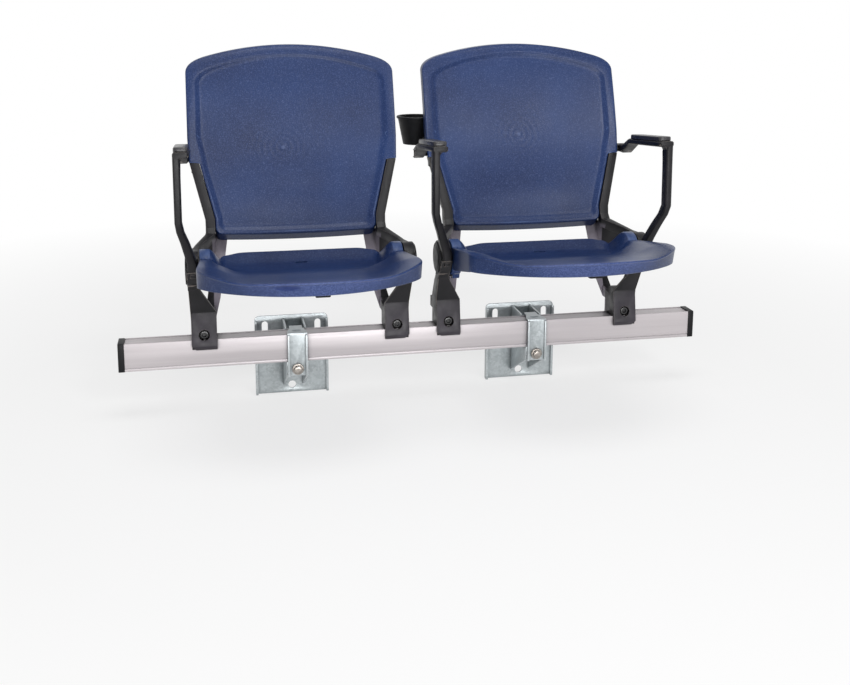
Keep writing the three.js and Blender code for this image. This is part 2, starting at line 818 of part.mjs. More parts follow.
function makeJaw() {
  const profile = [
    [footRearY + fit, footRearZ - 2 * fit], [jawRearY, footRearZ - 2 * fit],
    [jawRearY, jawBottomZ + jawChamfer], [jawRearY - jawChamfer, jawBottomZ],
    [beamDepth + fit, jawBottomZ], [beamDepth + fit, -fit], [footRearY + fit, -fit],
  ];
  const x0 = footMiddle - jawWidth / 2;
  return cut(
    prism('yz', profile, x0, x0 + jawWidth),
    prism('xz', circle(footMiddle, boltHeight, boltRadius + fit), footRearY - overrun, jawRearY + overrun),
  );
}

function makeFootBolt() {
  const headFront = boltSeatY - fit - boltHeadLength;
  return cut(
    join(
      prism('xz', circle(footMiddle, boltHeight, boltHeadRadius), headFront, boltSeatY - fit),
      prism('xz', circle(footMiddle, boltHeight, boltRadius), boltSeatY - fit - overrun, jawRearY - fit),
    ),
    prism('xz', circle(footMiddle, boltHeight, boltSocketRadius, 6), headFront - overrun,
      headFront + boltSocketDepth),
  );
}

// A body of revolution about the hinge axis, from [radius, x] points.
function turned(profile, sides = roundSides) {
  const points = profile.map(([radius, x]) => new THREE.Vector2(radius, x));
  const geometry = new THREE.LatheGeometry([...points, points[0].clone()], sides);
  geometry.applyMatrix4(new THREE.Matrix4().makeBasis(
    new THREE.Vector3(0, 0, 1), new THREE.Vector3(1, 0, 0), new THREE.Vector3(0, 1, 0),
  ));
  geometry.translate(0, hubY, hubZ);
  return solid(geometry);
}

const earInner = panHingeHalf - earWidth;

function makePin() {
  const headSeat = hubOuter - hubCapSeat - pinHeadLength + fit;
  return turned([
    [0, earInner], [pinRadius - fit, earInner], [pinRadius, earInner + fit], [pinRadius, headSeat],
    [pinHeadRadius, headSeat], [pinHeadRadius, headSeat + pinHeadLength - 2 * fit],
    [0, headSeat + pinHeadLength - 2 * fit],
  ]);
}

function makeBush() {
  const flangeStart = panHingeHalf + fit;
  return turned([
    [pinRadius + fit, earInner + fit], [bushRadius, earInner + fit], [bushRadius, flangeStart],
    [bushFlangeRadius, flangeStart], [bushFlangeRadius, flangeStart + bushFlange],
    [pinRadius + fit, flangeStart + bushFlange],
  ]);
}

function makeHubCap() {
  const seat = hubOuter - hubCapSeat + fit;
  const face = seat + hubCapSeat + hubCapProud - hubCapDome;
  return turned([
    [0, seat], [hubCapRadius, seat], [hubCapRadius, face - hubCapDome],
    [hubCapRadius - hubCapDome, face], [0, face + hubCapDome],
  ], drumSides);
}

// Back shell
function backFace(x, z) {
  const share = Math.min(1, Math.abs(x) / backHalfWidth);
  return backFront(z) + backDish * (1 - share * share);
}

// The space behind part of the back's face, from one depth to another.
function backSlab(x0, x1, z0, z1, from, to) {
  const columns = Math.max(2, Math.ceil((x1 - x0) / backGrid));
  const rows = Math.max(2, Math.ceil((z1 - z0) / backGrid));
  return between(
    spread(x0, x1, columns), spread(z0, z1, rows),
    (x, z) => backFace(x, z) + from, (x, z) => backFace(x, z) + to,
    (x, z, y) => [x, y, z],
  );
}

function backWhole(from, to) {
  const edge = backHalfWidth + overrun;
  return backSlab(-edge, edge, backBottomZ - backLip, backTopZ + overrun, from, to);
}

// Outline of the back seen from the front, drawn in by `inset`.
function backOutline(inset, sides, footHalf, foot) {
  const half = backHalfWidth - inset;
  const top = backTopZ - inset;
  const radius = (backDomeHalf ** 2 + backDomeDrop ** 2) / (2 * backDomeDrop);
  const sweep = THREE.MathUtils.radToDeg(Math.asin(backDomeHalf / radius));
  const dome = arc(0, top - radius, radius, quarterTurn - sweep, quarterTurn, 5).map(([x, z]) => [
    (x * (backDomeHalf - inset)) / backDomeHalf, z,
  ]);
  const shoulder = top - backDomeDrop;
  const cornerFall = ((half - backDomeHalf + inset) * 2 * backDomeDrop) / backDomeHalf;
  const corner = new THREE.QuadraticBezierCurve(
    new THREE.Vector2(half, shoulder - backCorner),
    new THREE.Vector2(half, shoulder - cornerFall),
    new THREE.Vector2(backDomeHalf - inset, shoulder),
  ).getPoints(4).map((p) => [p.x, p.y]);
  const r = backFootCorner;
  const right = [
    ...arc(footHalf - r, foot + r, r, -90, 0, 2), ...sides(half), ...corner.slice(0, -1), ...dome,
  ];
  return [...right, ...right.slice(0, -1).reverse().map(([x, z]) => [-x, z])];
}

function shellOutline(inset) {
  const stepHalf = backHalfWidth - backStepTaper;
  const lowHalf = uprightOuter - armWidth - 2 * fit;
  return backOutline(inset, (half) => [
    [backFootHalf - inset, armBendZ + uprightDepth], [lowHalf - inset, uprightStepZ + fit + inset],
    [stepHalf - inset, uprightStepZ + fit + inset], [half, backScrewZ],
  ], backFootHalf - inset, backBottomZ - backBottomBow + inset);
}

function panelOutline(grow) {
  const inset = backBorder - grow;
  const waist = uprightOuter - armWidth - backBorder / 2 + grow;
  return backOutline(inset, (half) => [[waist, uprightStepZ], [half, backScrewZ]],
    backFootHalf - backBorder / 2 + grow, backLipZ + backBorder / 2 - grow);
}

// The lip under the bottom edge: a plate that runs back and down.
function backLipSlab(low, high) {
  const deep = backRim;
  return between(
    spread(-backHalfWidth, backHalfWidth, 8), [0, deep],
    (x, run) => lipHeight(x, run) + low, (x, run) => lipHeight(x, run) + high,
    (x, run, z) => [x, backFace(x, backLipZ) + run, z],
  );
}

function lipHeight(x, run) {
  const share = Math.min(1, Math.abs(x) / backFootHalf);
  const bow = backBottomBow * (1 - share * share);
  return backLipZ - bow - ((backLipZ - backBottomZ) * run) / backRim;
}

const backReach = [backFront(backBottomZ) - backRim, backFront(backTopZ) + 2 * backRim];

function shellPrism(inset) {
  return prism('xz', shellOutline(inset), ...backReach);
}

function panelPrism(grow) {
  return prism('xz', panelOutline(grow), ...backReach);
}

// Ribs on the back of the panel, upright and level.
function makeBackRibs() {
  const bars = [];
  const low = backLipZ + backLip;
  const high = backTopZ - backLip - backDomeDrop;
  const near = backSkin + backRecess - fit;
  const far = backRim - backRibWall;
  for (const k of [-1, 0, 1]) {
    const x = k * backRibPitch;
    bars.push(backSlab(x - backRibWall / 2, x + backRibWall / 2, low, high, near, far));
  }
  const reach = backRibPitch + backRibWall / 2;
  for (const share of backCrossShares) {
    const z = low + (high - low) * share;
    bars.push(backSlab(-reach, reach, z, z + backRibWall, near, far));
  }
  return bars;
}

function makeBack() {
  const deep = backSkin + backRecess;
  const whole = shellPrism(0);
  const skin = cut(
    whole.intersect(backWhole(0, deep)),
    panelPrism(0).intersect(backWhole(-overrun, backRecess)),
    cut(backWhole(backSkin, deep + overrun), panelPrism(backRimWall)),
  );
  const rim = cut(whole, shellPrism(backRimWall)).intersect(backWhole(backSkin / 2, backRim));
  const lip = whole.intersect(backLipSlab(0, backRimWall));
  const below = backLipSlab(-2 * backRim, 0);
  const frontBelow = box(-backHalfWidth, backHalfWidth, 0, backFace(0, backLipZ), backBottomZ - backRim,
    backLipZ - backBottomBow);
  const spineX = spineOuter - spineWidth / 2;
  const shell = join(skin, rim, ...makeBackRibs());
  const screwY = backFront(backScrewZ);
  const behind = backWhole(backSkin / 2, spineSet - backDish / 4 - fit);
  const bosses = [-1, 1].map((side) => prism(
    'xz', circle(side * spineX, backScrewZ, backBossRadius), screwY, screwY + backRim,
  ).intersect(behind));
  const rear = [backSkin + fit, backRim + overrun];
  const openings = [-1, 1].flatMap((side) => {
    const step = sided(side, uprightOuter - armWidth, backHalfWidth + overrun);
    const link = sided(side, spineOuter + fit, backHalfWidth + overrun);
    return [
      backSlab(...step, uprightStepZ - backRimWall, uprightStepZ + 2 * backRimWall, ...rear),
      backSlab(...link, linkNotchLow, linkNotchHigh, ...rear),
    ];
  });
  const holes = [-1, 1].map((side) => prism(
    'xz', circle(side * spineX, backScrewZ, backScrewRadius + fit), screwTip() - fit, screwY + 2 * backRim,
  ));
  return cut(join(cut(shell, below, frontBelow), lip, ...bosses), ...openings, ...holes);
}

function screwTip() {
  return backFace(spineOuter - spineWidth / 2, backScrewZ) + spineSet - backScrewDepth;
}

function makeBackScrew() {
  const x = spineOuter - spineWidth / 2;
  const seat = backFront(backScrewZ) + spineSet + spineDepth + backScrewLean;
  return join(
    prism('xz', circle(x, backScrewZ, backScrewRadius), screwTip(), seat + backScrewHeadLength / 2),
    prism('xz', circle(x, backScrewZ, backScrewHead, 6), seat, seat + backScrewHeadLength),
  );
}

// Pan
function panRim(x, y) {
  const share = x / panTipHalf;
  return panFrontZ - panFall * (y - panFrontY) + panSideRise * share * share;
}

function panFloor(y) {
  const run = [
    [panFrontY, panFrontZ], [panMidY, panMidZ], [panValleyY, panValleyZ], [0, panSlopeEndZ],
    [panRearY, panRearZ],
  ];
  return (follow(run, y - panEase) + 2 * follow(run, y) + follow(run, y + panEase)) / 4;
}

function earTop(y) {
  const reach = y - hubY;
  return hubZ + Math.sqrt(Math.max(0, earRadius ** 2 - reach ** 2));
}

function panTop(x, y) {
  const nearHinge = smooth(y, hubY - 2 * earRadius, hubY - earRadius);
  const start = THREE.MathUtils.lerp(panDishHalf, panRearHalf - panEase, nearHinge);
  const end = THREE.MathUtils.lerp(panDishEdge, panHingeHalf - earWidth + wallPlate, nearHinge);
  const side = y < hubY ? Math.max(panRim(x, y), earTop(y)) : earTop(y);
  const floor = panFloor(y);
  return floor + (side - floor) * smooth(Math.abs(x), start, end);
}

function panUnder(x, y) {
  return panTop(x, y) - panSkin;
}

function panSlab(low, high) {
  const reach = panTipHalf + overrun;
  const half = [0, panDishHalf];
  const rise = spread(panDishHalf, panHingeHalf, 3).slice(1);
  const right = [...half, ...rise, reach];
  const xs = [...right.slice(1).reverse().map((x) => -x), ...right];
  const ys = [
    panFrontY - overrun, panTipY, panMidY, ...spread(panMidY, hubY - earRadius, 2).slice(1),
    ...spread(hubY - earRadius, panRearY, 4).slice(1), panRearY + overrun,
  ];
  return between(xs, ys, low, high, (x, y, z) => [x, y, z]);
}

// Outline of the pan seen from above.
function panOutline(front, side, rear) {
  const half = panTipHalf - side;
  const reach = half - panTipCorner;
  const radius = (reach ** 2 + panFrontBow ** 2) / (2 * panFrontBow);
  const middle = panFrontY + front + radius;
  const turn = THREE.MathUtils.radToDeg(Math.asin(reach / radius));
  const bow = arc(0, middle, radius, -quarterTurn, turn - quarterTurn, 6);
  const [endX, endY] = bow[bow.length - 1];
  const slope = Math.tan(THREE.MathUtils.degToRad(turn));
  const corner = new THREE.QuadraticBezierCurve(
    new THREE.Vector2(endX, endY),
    new THREE.Vector2(half, endY + (half - endX) * slope),
    new THREE.Vector2(half, panTipY + panTipCorner / 2),
  ).getPoints(4).slice(1).map((p) => [p.x, p.y]);
  const hinge = panHingeHalf - side;
  const earRear = hubY + earRadius - rear;
  const right = [
    ...bow, ...corner, [hinge, hubY - earRadius], [hinge, earRear],
    [panHingeHalf - earWidth - side, earRear], [panRearHalf - side, panRearY - rear],
  ];
  return [...right, ...right.slice(1).reverse().map(([x, y]) => [-x, y])];
}

function panBlock(inset) {
  const top = hubZ + earRadius + overrun;
  const bottom = panValleyZ - panFaceHeight;
  const lean = (z) => (panFrontZ - z) / panFaceHeight;
  return loft([bottom, top].map((z) => panOutline(
    panFaceLean * lean(z) + inset, panSideLean * lean(z) + inset, inset,
  ).map(([x, y]) => [x, y, z])));
}

function panFaceBottom(y) {
  return panFrontZ - panFaceHeight - panFall * (y - panFrontY);
}

function makePanRibs() {
  const low = panValleyZ - panRibDrop;
  const bars = [-1, 0, 1].map((k) => {
    const x = k * panRibPitch;
    return box(x - panRibWall / 2, x + panRibWall / 2, panFrontY, panRearY, low, panFrontZ);
  });
  const across = box(-panDishHalf, panDishHalf, panMidY, panMidY + panRibWall, low, panFrontZ);
  return join(...bars, across);
}

function makePan() {
  const outer = panBlock(0);
  const foot = (x, y) => Math.min(panFaceBottom(y), panUnder(x, y));
  const ribFoot = (x, y) => Math.min(panFaceBottom(y) + panRibWall, panUnder(x, y));
  const inner = panBlock(panSkin);
  const skin = outer.intersect(panSlab(panUnder, panTop));
  const wall = cut(outer, inner).intersect(panSlab(foot, panTop));
  const ribs = makePanRibs().intersect(outer).intersect(panSlab(ribFoot, panTop));
  const drain = prism('xy', roundedBox(-drainWidth / 2, drainWidth / 2, -drainDepth, 0, drainDepth / 2),
    panValleyZ - panRibDrop, panRearZ);
  const seat = bumperSeat();
  const boss = box(...seat, panFrontZ - panFaceHeight, panFrontZ)
    .intersect(panSlab(() => bumperTop + fit, panTop));
  const ears = [-1, 1].map((side) => makeEar(side));
  const openings = [-1, 1].flatMap((side) => makeEarOpenings(side));
  const bumperSpace = box(seat[0] - fit, seat[1] + fit, seat[2] - fit, seat[3] + fit,
    panValleyZ - panRibDrop, bumperTop + fit);
  return cut(join(skin, wall, ribs, boss, ...ears), drain, bumperSpace, ...openings);
}

function makeEar(side) {
  const drum = prism('yz', circle(hubY, hubZ, earRadius, drumSides),
    ...sided(side, earInner, panHingeHalf));
  const lug = prism('yz', lugOutline(earRadius - earRimWall, lugReach, -lugThickness / 2, lugThickness / 2),
    ...sided(side, lugInner, lugInner + lugWidth));
  return join(drum, lug);
}

function makeEarOpenings(side) {
  const bore = prism('yz', circle(hubY, hubZ, bushRadius + fit),
    ...sided(side, earInner - overrun, panHingeHalf + overrun));
  const span = sided(side, earInner - overrun, earInner + earBoreDepth);
  const pocket = cut(
    prism('yz', circle(hubY, hubZ, earRadius - earRimWall, drumSides), ...span),
    prism('yz', circle(hubY, hubZ, earHubRadius), ...span),
  ).intersect(panSlab((x, y) => panTop(x, y) - 3 * earRadius, panUnder));
  return [bore, pocket];
}

const bumperTop = panFrontZ - panFaceHeight + bumperSunk;

function bumperSeat() {
  return [bumperShift - bumperWidth / 2, bumperShift + bumperWidth / 2, bumperY, bumperY + bumperDepth];
}

function makeBumper() {
  const [x0, x1, y0, y1] = bumperSeat();
  const outline = roundedBox(x0, x1, y0, y1, bumperDepth / 2 - fit);
  return prism('xy', outline, bumperTop - bumperHeight, bumperTop);
}

// Armrest
function makeRestLeg() {
  const foot = [restFootInner, restFootInner + restFootWidth];
  const run = restKneeZ - neckTopZ;
  const forward = restLegFront - restFootFront;
  const shares = [
    [0, 0, 0], [0.14, 0, 0.02], [0.3, 0.2, 0.14], [0.6, 0.55, 0.54], [0.82, 0.86, 0.85], [1, 1, 1],
  ];
  const levels = shares.map(([up, out, ahead]) => {
    const front = restFootFront + forward * ahead;
    return [
      neckTopZ + fit + run * up,
      foot[0] + (restInner - foot[0]) * out, foot[1] + (restOuter - foot[1]) * out,
      front, front + restLegDepth - (restLegDepth - socketDepth) * (1 - ahead),
    ];
  });
  const top = [restInner, restOuter, restBeamFront, restBeamFront + restLegDepth];
  return tower([...levels, [restLegTopZ, ...top], [restBeamTop - restBeamHeight / 2, ...top]], restChamfer);
}

function restTop(y) {
  return restBeamTop - (restBeamFall * (y - restBeamFront)) / (restBeamRear - restBeamFront);
}

function makeRestBeam() {
  const station = (y, inner) => [y, inner, restOuter, restTop(y) - restBeamHeight, restTop(y)];
  const linkInner = uprightOuter + 2 * restChamfer;
  return tunnel([
    station(restBeamFront, restBeamInner + restFillet / 4),
    station(restBeamFront + restFillet / 2, restBeamInner),
    station(restBeamRear, restBeamInner),
    [restBeamRear + restFillet, restBeamInner + restChamfer, restOuter,
      restTop(restBeamRear) - restBeamHeight - restFillet / 2, restTop(restBeamRear) - restFillet / 4],
    [restLinkY, linkInner, restOuter, restLinkLow, restLinkHigh],
    [restLinkY + restFillet, linkInner, restOuter - restFillet / 3, restLinkLow, restLinkHigh],
    [restTailY, linkInner, restInner - restFillet / 4, restLinkLow, restLinkHigh - restChamfer],
  ], restChamfer);
}

// The three fillets where the leg meets the beam.
function makeRestFillets() {
  const under = restTop(restBeamFront) - restBeamHeight + restChamfer;
  const rear = restBeamFront + restLegDepth;
  const inner = prism('xz', [
    [restInner + restChamfer, under], [restInner - restFillet, under],
    [restInner - restFillet / 4, under - restFillet / 4], [restInner + restChamfer, under - restFillet],
  ], restBeamFront + restChamfer, rear);
  const behind = prism('yz', [
    [rear - restChamfer, under], [rear - restChamfer, under - restFillet],
    [rear + restFillet / 4, under - restFillet / 4], [rear + restFillet, under - restBeamFall / 8],
  ], restInner, restOuter - restChamfer);
  return [inner, behind];
}

// The tail reaches from the upright into the rear link, wherever the lean has moved it.
function makeRestTail(lean) {
  const low = restLinkLow + fit;
  const high = restLinkHigh - 2 * restChamfer;
  const front = restTailY - restFillet;
  const outer = uprightOuter + 3 * restChamfer + Math.max(lean, 0);
  return box(spineOuter + fit, outer, front, restTailY, low, high);
}

// Three-cornered hollow in the outer side of the rear link.
function restHollow() {
  const low = restLinkLow + restChamfer;
  const high = restTop(restBeamRear) - restBeamHeight;
  return prism('yz', [
    [restBeamRear + restFillet, high - restChamfer], [restLinkY - restChamfer, low],
    [restLinkY + restFillet, low], [restLinkY + restFillet, restLinkHigh - restChamfer],
    [restLinkY, restLinkHigh - restChamfer],
  ], restOuter - restFillet, restOuter + overrun);
}

// Moves a body's upper part outwards by `lean`, from nothing beside the hub to all of it at the knee.
function leaned(body, lean) {
  const geometry = geometryOf(body);
  const position = geometry.attributes.position;
  const start = hubZ + hubRadius / 2;
  for (let i = 0; i < position.count; i += 1) {
    const share = THREE.MathUtils.clamp((position.getZ(i) - start) / (restKneeZ - start), 0, 1);
    position.setX(i, position.getX(i) + lean * share);
  }
  return solid(geometry);
}

function makeArmrest(lean) {
  const frame = cut(join(makeRestLeg(), makeRestBeam(), ...makeRestFillets()), restHollow());
  const stem = tongue(0, neckTopZ - socketTongue, neckTopZ + restChamfer);
  return join(leaned(frame, lean), makeRestTail(lean), stem);
}

function makePad() {
  const outline = roundedBox(restBeamInner + padInset + padBevel, restOuter - padInset - padBevel,
    padFront + padBevel, padRear - padBevel, padCorner - padBevel);
  const shape = new THREE.Shape(outline.map(([x, y]) => new THREE.Vector2(x, y)));
  const geometry = new THREE.ExtrudeGeometry(shape, {
    depth: padHeight - padBevel, bevelThickness: padBevel, bevelSize: padBevel, bevelSegments: 2,
  });
  const position = geometry.attributes.position;
  for (let i = 0; i < position.count; i += 1) {
    const y = position.getY(i);
    const up = Math.max(0, position.getZ(i));
    position.setZ(i, restTop(y) + fit + up);
  }
  return solid(geometry);
}

// Wall bracket
function makeWallPlate() {
  const half = plateWidth / 2;
  const r = plateCorner;
  const outline = [
    [-half, plateBottomZ], [half, plateBottomZ],
    ...arc(half - r, plateTopZ - r, r, 0, 90, 4), ...arc(-half + r, plateTopZ - r, r, 90, 180, 4),
  ];
  const rear = plateFrontY + plateThickness;
  const plate = prism('xz', outline, plateFrontY, rear);
  const flanges = [-half, half - plateThickness].map((x) => box(
    x, x + plateThickness, plateFrontY - plateFlange, plateFrontY + plateThickness / 2,
    plateBottomZ, plateTopZ - r,
  ));
  const slots = [-1, 1].map((side) => {
    const x = (side * slotSpacing) / 2;
    return prism('xz', roundedBox(x - slotWidth / 2, x + slotWidth / 2, slotTopZ - slotHeight, slotTopZ,
      slotWidth / 2 - fit), plateFrontY - overrun, rear + overrun);
  });
  const hole = prism('xz', circle(0, wallHoleZ, wallHoleRadius), plateFrontY - overrun, rear + overrun);
  return cut(join(plate, ...flanges), ...slots, hole);
}

function makeRiserArm() {
  const half = bracketWidth / 2;
  const rear = beamDepth + fit;
  const under = -beamHeight - fit;
  const side = [
    [plateFrontY - fit, bracketTopZ], [rear, bracketTopZ], [rear, under], [fit, under], [fit, bracketFootZ],
    [plateFrontY - fit, bracketHeelZ],
  ];
  const webs = [-half, half - bracketWall].map((x) => prism('yz', side, x, x + bracketWall));
  const saddle = box(-half, half, rear, rear + bracketWall, under, 0);
  const shelf = box(-half, half, fit, rear + bracketWall, under - bracketWall, under);
  const front = box(-half, half, fit, fit + bracketWall, bracketFootZ, under);
  const hole = prism('xz', circle(0, clampHeight, clampRadius + fit), fit - overrun,
    fit + bracketWall + overrun);
  return cut(join(...webs, saddle, shelf, front), hole);
}

function makeStrap() {
  const half = strapWidth / 2;
  const front = -fit - bracketWall;
  const hook = strapHookWidth / 2;
  const hookFront = beamDepth + 2 * fit + bracketWall;
  const hookRear = hookFront + bracketWall;
  const web = box(-half, half, front, -fit, bracketFootZ, fit + bracketWall);
  const flanges = [-half, half - bracketWall].map((x) => box(
    x, x + bracketWall, front - strapFlange, -fit, bracketFootZ, fit,
  ));
  const shoulder = strapHookWidth / 3;
  const tab = prism('xy', [
    [-half, front], [half, front], [half, shoulder], [hook, beamDepth - shoulder], [hook, hookRear],
    [-hook, hookRear], [-hook, beamDepth - shoulder], [-half, shoulder],
  ], fit, fit + bracketWall);
  const down = box(-hook, hook, hookFront, hookRear, fit + bracketWall - strapHookDrop, fit + bracketWall);
  const slotHalf = clampRadius + 3 * fit;
  const shoulderZ = clampHeight + slotHalf / 2;
  const slot = prism('xz', [
    [-slotHalf, clampHeight - slotHalf], [slotHalf, clampHeight - slotHalf], [slotHalf, shoulderZ],
    [0, clampHeight + clampSlotTop], [-slotHalf, shoulderZ],
  ], front - overrun, 0);
  return cut(join(web, ...flanges, tab, down, makeEmboss()), slot);
}

// The oval pressed up in the strap's tab.
function makeEmboss() {
  const middle = beamDepth / 2 - strapFlange;
  const base = fit + bracketWall / 2;
  const top = fit + bracketWall + embossRise;
  const ring = (share, z) => circle(0, 0, share / 2).map(([x, y]) => [
    x * embossLength, middle + y * embossWidth, z,
  ]);
  const [shoulder, crown] = embossShares;
  return loft([
    ring(1, base), ring(1, top - embossRise), ring(shoulder, top - embossRise / 4), ring(crown, top),
  ]);
}

const strapFace = -fit - bracketWall;

function makeStrapBolt() {
  const washerFront = strapFace - fit - clampWasher;
  const tip = bracketWall + 2 * fit + nutLength + clampWasher;
  const headFront = washerFront - clampHeadLength;
  return join(
    prism('xz', circle(0, clampHeight, clampRadius), washerFront, tip),
    prism('xz', circle(0, clampHeight, clampWasherRadius), washerFront, strapFace - fit),
    prism('xz', circle(0, clampHeight, clampHeadRadius, 6), headFront, washerFront + clampWasher / 2),
  );
}

function makeStrapNut() {
  const front = bracketWall + 2 * fit;
  return cut(
    prism('xz', circle(0, clampHeight, nutRadius, 6), front, front + nutLength),
    prism('xz', circle(0, clampHeight, clampRadius + fit), front - overrun, front + nutLength + overrun),
  );
}

// Cup holder
const cupSpine = seatShift + seatPitch / 2 - spineOuter + spineWidth / 2;
const cupX = cupSpine - cupSet;

function cupSolid(profile) {
  const points = profile.map(([radius, z]) => new THREE.Vector2(radius, z));
  const geometry = new THREE.LatheGeometry(points, drumSides);
  geometry.rotateX(Math.PI / 2);
  geometry.translate(cupX, cupY, 0);
  return solid(geometry);
}

function makeCup() {
  const foot = cupRimZ - cupHeight;
  const rim = cupRimZ - cupRimHeight;
  const shell = cupSolid([
    [0, foot], [cupBottomRadius, foot], [cupTopRadius, rim], [cupTopRadius + cupRimProud, rim],
    [cupTopRadius + cupRimProud, cupRimZ], [cupTopRadius - cupWall, cupRimZ],
    [cupBottomRadius - cupWall, foot + cupWall], [0, foot + cupWall],
  ]);
  const drain = prism('xy', circle(cupX, cupY, cupDrainRadius), foot - overrun, foot + cupWall + overrun);
  return cut(shell, drain);
}

function makeCupArm() {
  const rear = (z) => backFront(z) + spineSet + spineDepth + 2 * fit;
  const block = prism('yz', [
    [rear(cupArmLow), cupArmLow], [cupY, cupArmLow], [cupY, cupArmHigh], [rear(cupArmHigh), cupArmHigh],
  ], cupSpine - cupArmHalf, cupSpine + cupArmHalf);
  const foot = cupRimZ - cupHeight;
  const slope = (cupTopRadius - cupBottomRadius) / (cupHeight - cupRimHeight);
  const radiusAt = (z) => cupBottomRadius + fit + slope * (z - foot);
  const low = cupArmLow - overrun;
  const high = cupArmHigh + overrun;
  return cut(block, cupSolid([[0, low], [radiusAt(low), low], [radiusAt(high), high], [0, high]]));
}

// Assembly
const root = new THREE.Group();
root.position.set(
  bracketPitch / 2 - bracketShift - plateShift,
  -plateFrontY - plateThickness,
  -(plateTopZ + plateBottomZ) / 2,
);

function place(name, body, look, x = 0, z = 0) {
  const mesh = new THREE.Mesh(geometryOf(body), new THREE.MeshStandardMaterial(look));
  mesh.name = name;
  mesh.position.set(x, 0, z);
  root.add(mesh);
}

place('beam', makeBeam(), beamSilver);
const cap = makeCap();
place('end_cap_left', mirrored(cap), mouldBlack);
place('end_cap_right', cap, mouldBlack);

const standardPieces = [
  ['standard', makeStandard(), castBlack],
  ['foot_clamp', makeJaw(), castBlack],
  ['foot_bolt', makeFootBolt(), rubberBlack],
  ['hinge_pin', makePin(), boltSteel],
  ['hinge_bush', makeBush(), bushWhite],
  ['hub_cap', makeHubCap(), mouldBlack],
  ['back_screw', makeBackScrew(), boltSteel],
];
const armrestPieces = (lean) => [
  ['armrest', makeArmrest(lean), castBlack],
  ['arm_pad', leaned(makePad(), lean), padBlack],
];
const seatMiddles = { left: seatShift - seatPitch / 2, right: seatShift + seatPitch / 2 };
const standards = [
  { number: 1, seat: 'left', side: -1 },
  { number: 2, seat: 'left', side: 1 },
  { number: 3, seat: 'right', side: -1 },
  { number: 4, seat: 'right', side: 1 },
];
for (const { number, seat, side } of standards) {
  const x = seatMiddles[seat];
  const pieces = [...standardPieces, ['stop_buffer', makeBuffer(panTips[seat]), rubberBlack]];
  if (number in restLeans) pieces.push(...armrestPieces(restLeans[number]));
  for (const [name, body, look] of pieces) {
    place(`${name}_${number}`, side > 0 ? body : mirrored(body), look, x);
  }
}

const backShell = makeBack();
const pan = makePan();
const bumper = makeBumper();
for (const [name, x] of Object.entries(seatMiddles)) {
  place(`seat_back_${name}`, backShell, seatBlue, x);
  place(`seat_pan_${name}`, tipped(pan, panTips[name]), seatBlue, x);
  place(`pan_bumper_${name}`, tipped(bumper, panTips[name]), rubberBlack, x);
}

const bracketPieces = [
  ['wall_plate', makeWallPlate(), zincGrey, plateShift],
  ['riser_arm', makeRiserArm(), zincGrey, 0],
  ['beam_strap', makeStrap(), zincGrey, 0],
  ['strap_bolt', makeStrapBolt(), boltSteel, 0],
  ['strap_nut', makeStrapNut(), boltSteel, 0],
];
for (const [name, seat] of [['left', -1], ['right', 1]]) {
  const x = (seat * bracketPitch) / 2 + bracketShift;
  for (const [piece, body, look, shift] of bracketPieces) {
    place(`${piece}_${name}`, body, look, x + shift);
  }
}

place('cup_holder', makeCup(), mouldBlack);
place('cup_arm', makeCupArm(), mouldBlack);

export default root;
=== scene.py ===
import json
import math

import bmesh
import bpy
from mathutils import Matrix, Vector


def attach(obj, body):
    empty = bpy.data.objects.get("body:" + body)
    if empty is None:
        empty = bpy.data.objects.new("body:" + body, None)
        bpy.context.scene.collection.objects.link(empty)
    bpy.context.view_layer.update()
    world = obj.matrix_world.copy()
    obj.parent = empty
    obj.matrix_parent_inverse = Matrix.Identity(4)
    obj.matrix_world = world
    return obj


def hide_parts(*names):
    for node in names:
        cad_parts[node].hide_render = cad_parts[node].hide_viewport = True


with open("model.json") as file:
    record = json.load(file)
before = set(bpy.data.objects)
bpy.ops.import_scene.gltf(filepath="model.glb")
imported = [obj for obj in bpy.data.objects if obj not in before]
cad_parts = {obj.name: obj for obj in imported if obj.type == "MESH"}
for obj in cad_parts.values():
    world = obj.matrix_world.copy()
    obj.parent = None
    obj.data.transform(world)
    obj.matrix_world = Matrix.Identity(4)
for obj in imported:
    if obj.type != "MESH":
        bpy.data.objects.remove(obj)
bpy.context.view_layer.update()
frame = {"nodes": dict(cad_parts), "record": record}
nodes = frame["nodes"]

# The beam frame of the CAD source, in millimetres: x = 0 beam middle, y = 0 beam front, z = 0 beam top
MM = 0.001
ORIGIN = Vector((265.0, -120.0, 78.5))
# Middles along the beam, each pan's tip at rest in degrees, and each standard's seat and side
SEATS = {"left": -251.0, "right": 257.0}
PAN_TIPS = {"left": 0.0, "right": 1.9}
STANDARDS = {1: ("left", -1), 2: ("left", 1), 3: ("right", -1), 4: ("right", 1)}
BRACKETS = {"left": -262.0, "right": 254.0}


def body_of(node):
    for body, members in frame["record"]["behaviour"]["bodies"].items():
        if node in members:
            return body
    return None


# Small maths
def lerp(a, b, share):
    return a + (b - a) * share


def smooth(value, low, high):
    share = min(1.0, max(0.0, (value - low) / (high - low)))
    return share * share * (3.0 - 2.0 * share)


def bell(value, middle, span):
    return math.exp(-(((value - middle) / span) ** 2))


def follow(run, at):
    for (a0, b0), (a1, b1) in zip(run, run[1:]):
        if at <= a1 or (a1, b1) == run[-1]:
            return b0 + (b1 - b0) * (at - a0) / (a1 - a0)


def spread(low, high, steps):
    return [lerp(low, high, i / steps) for i in range(steps + 1)]


def polar(cx, cy, radius, start, end, steps):
    turns = [math.radians(a) for a in spread(start, end, steps)]
    return [(cx + radius * math.cos(t), cy + radius * math.sin(t)) for t in turns]


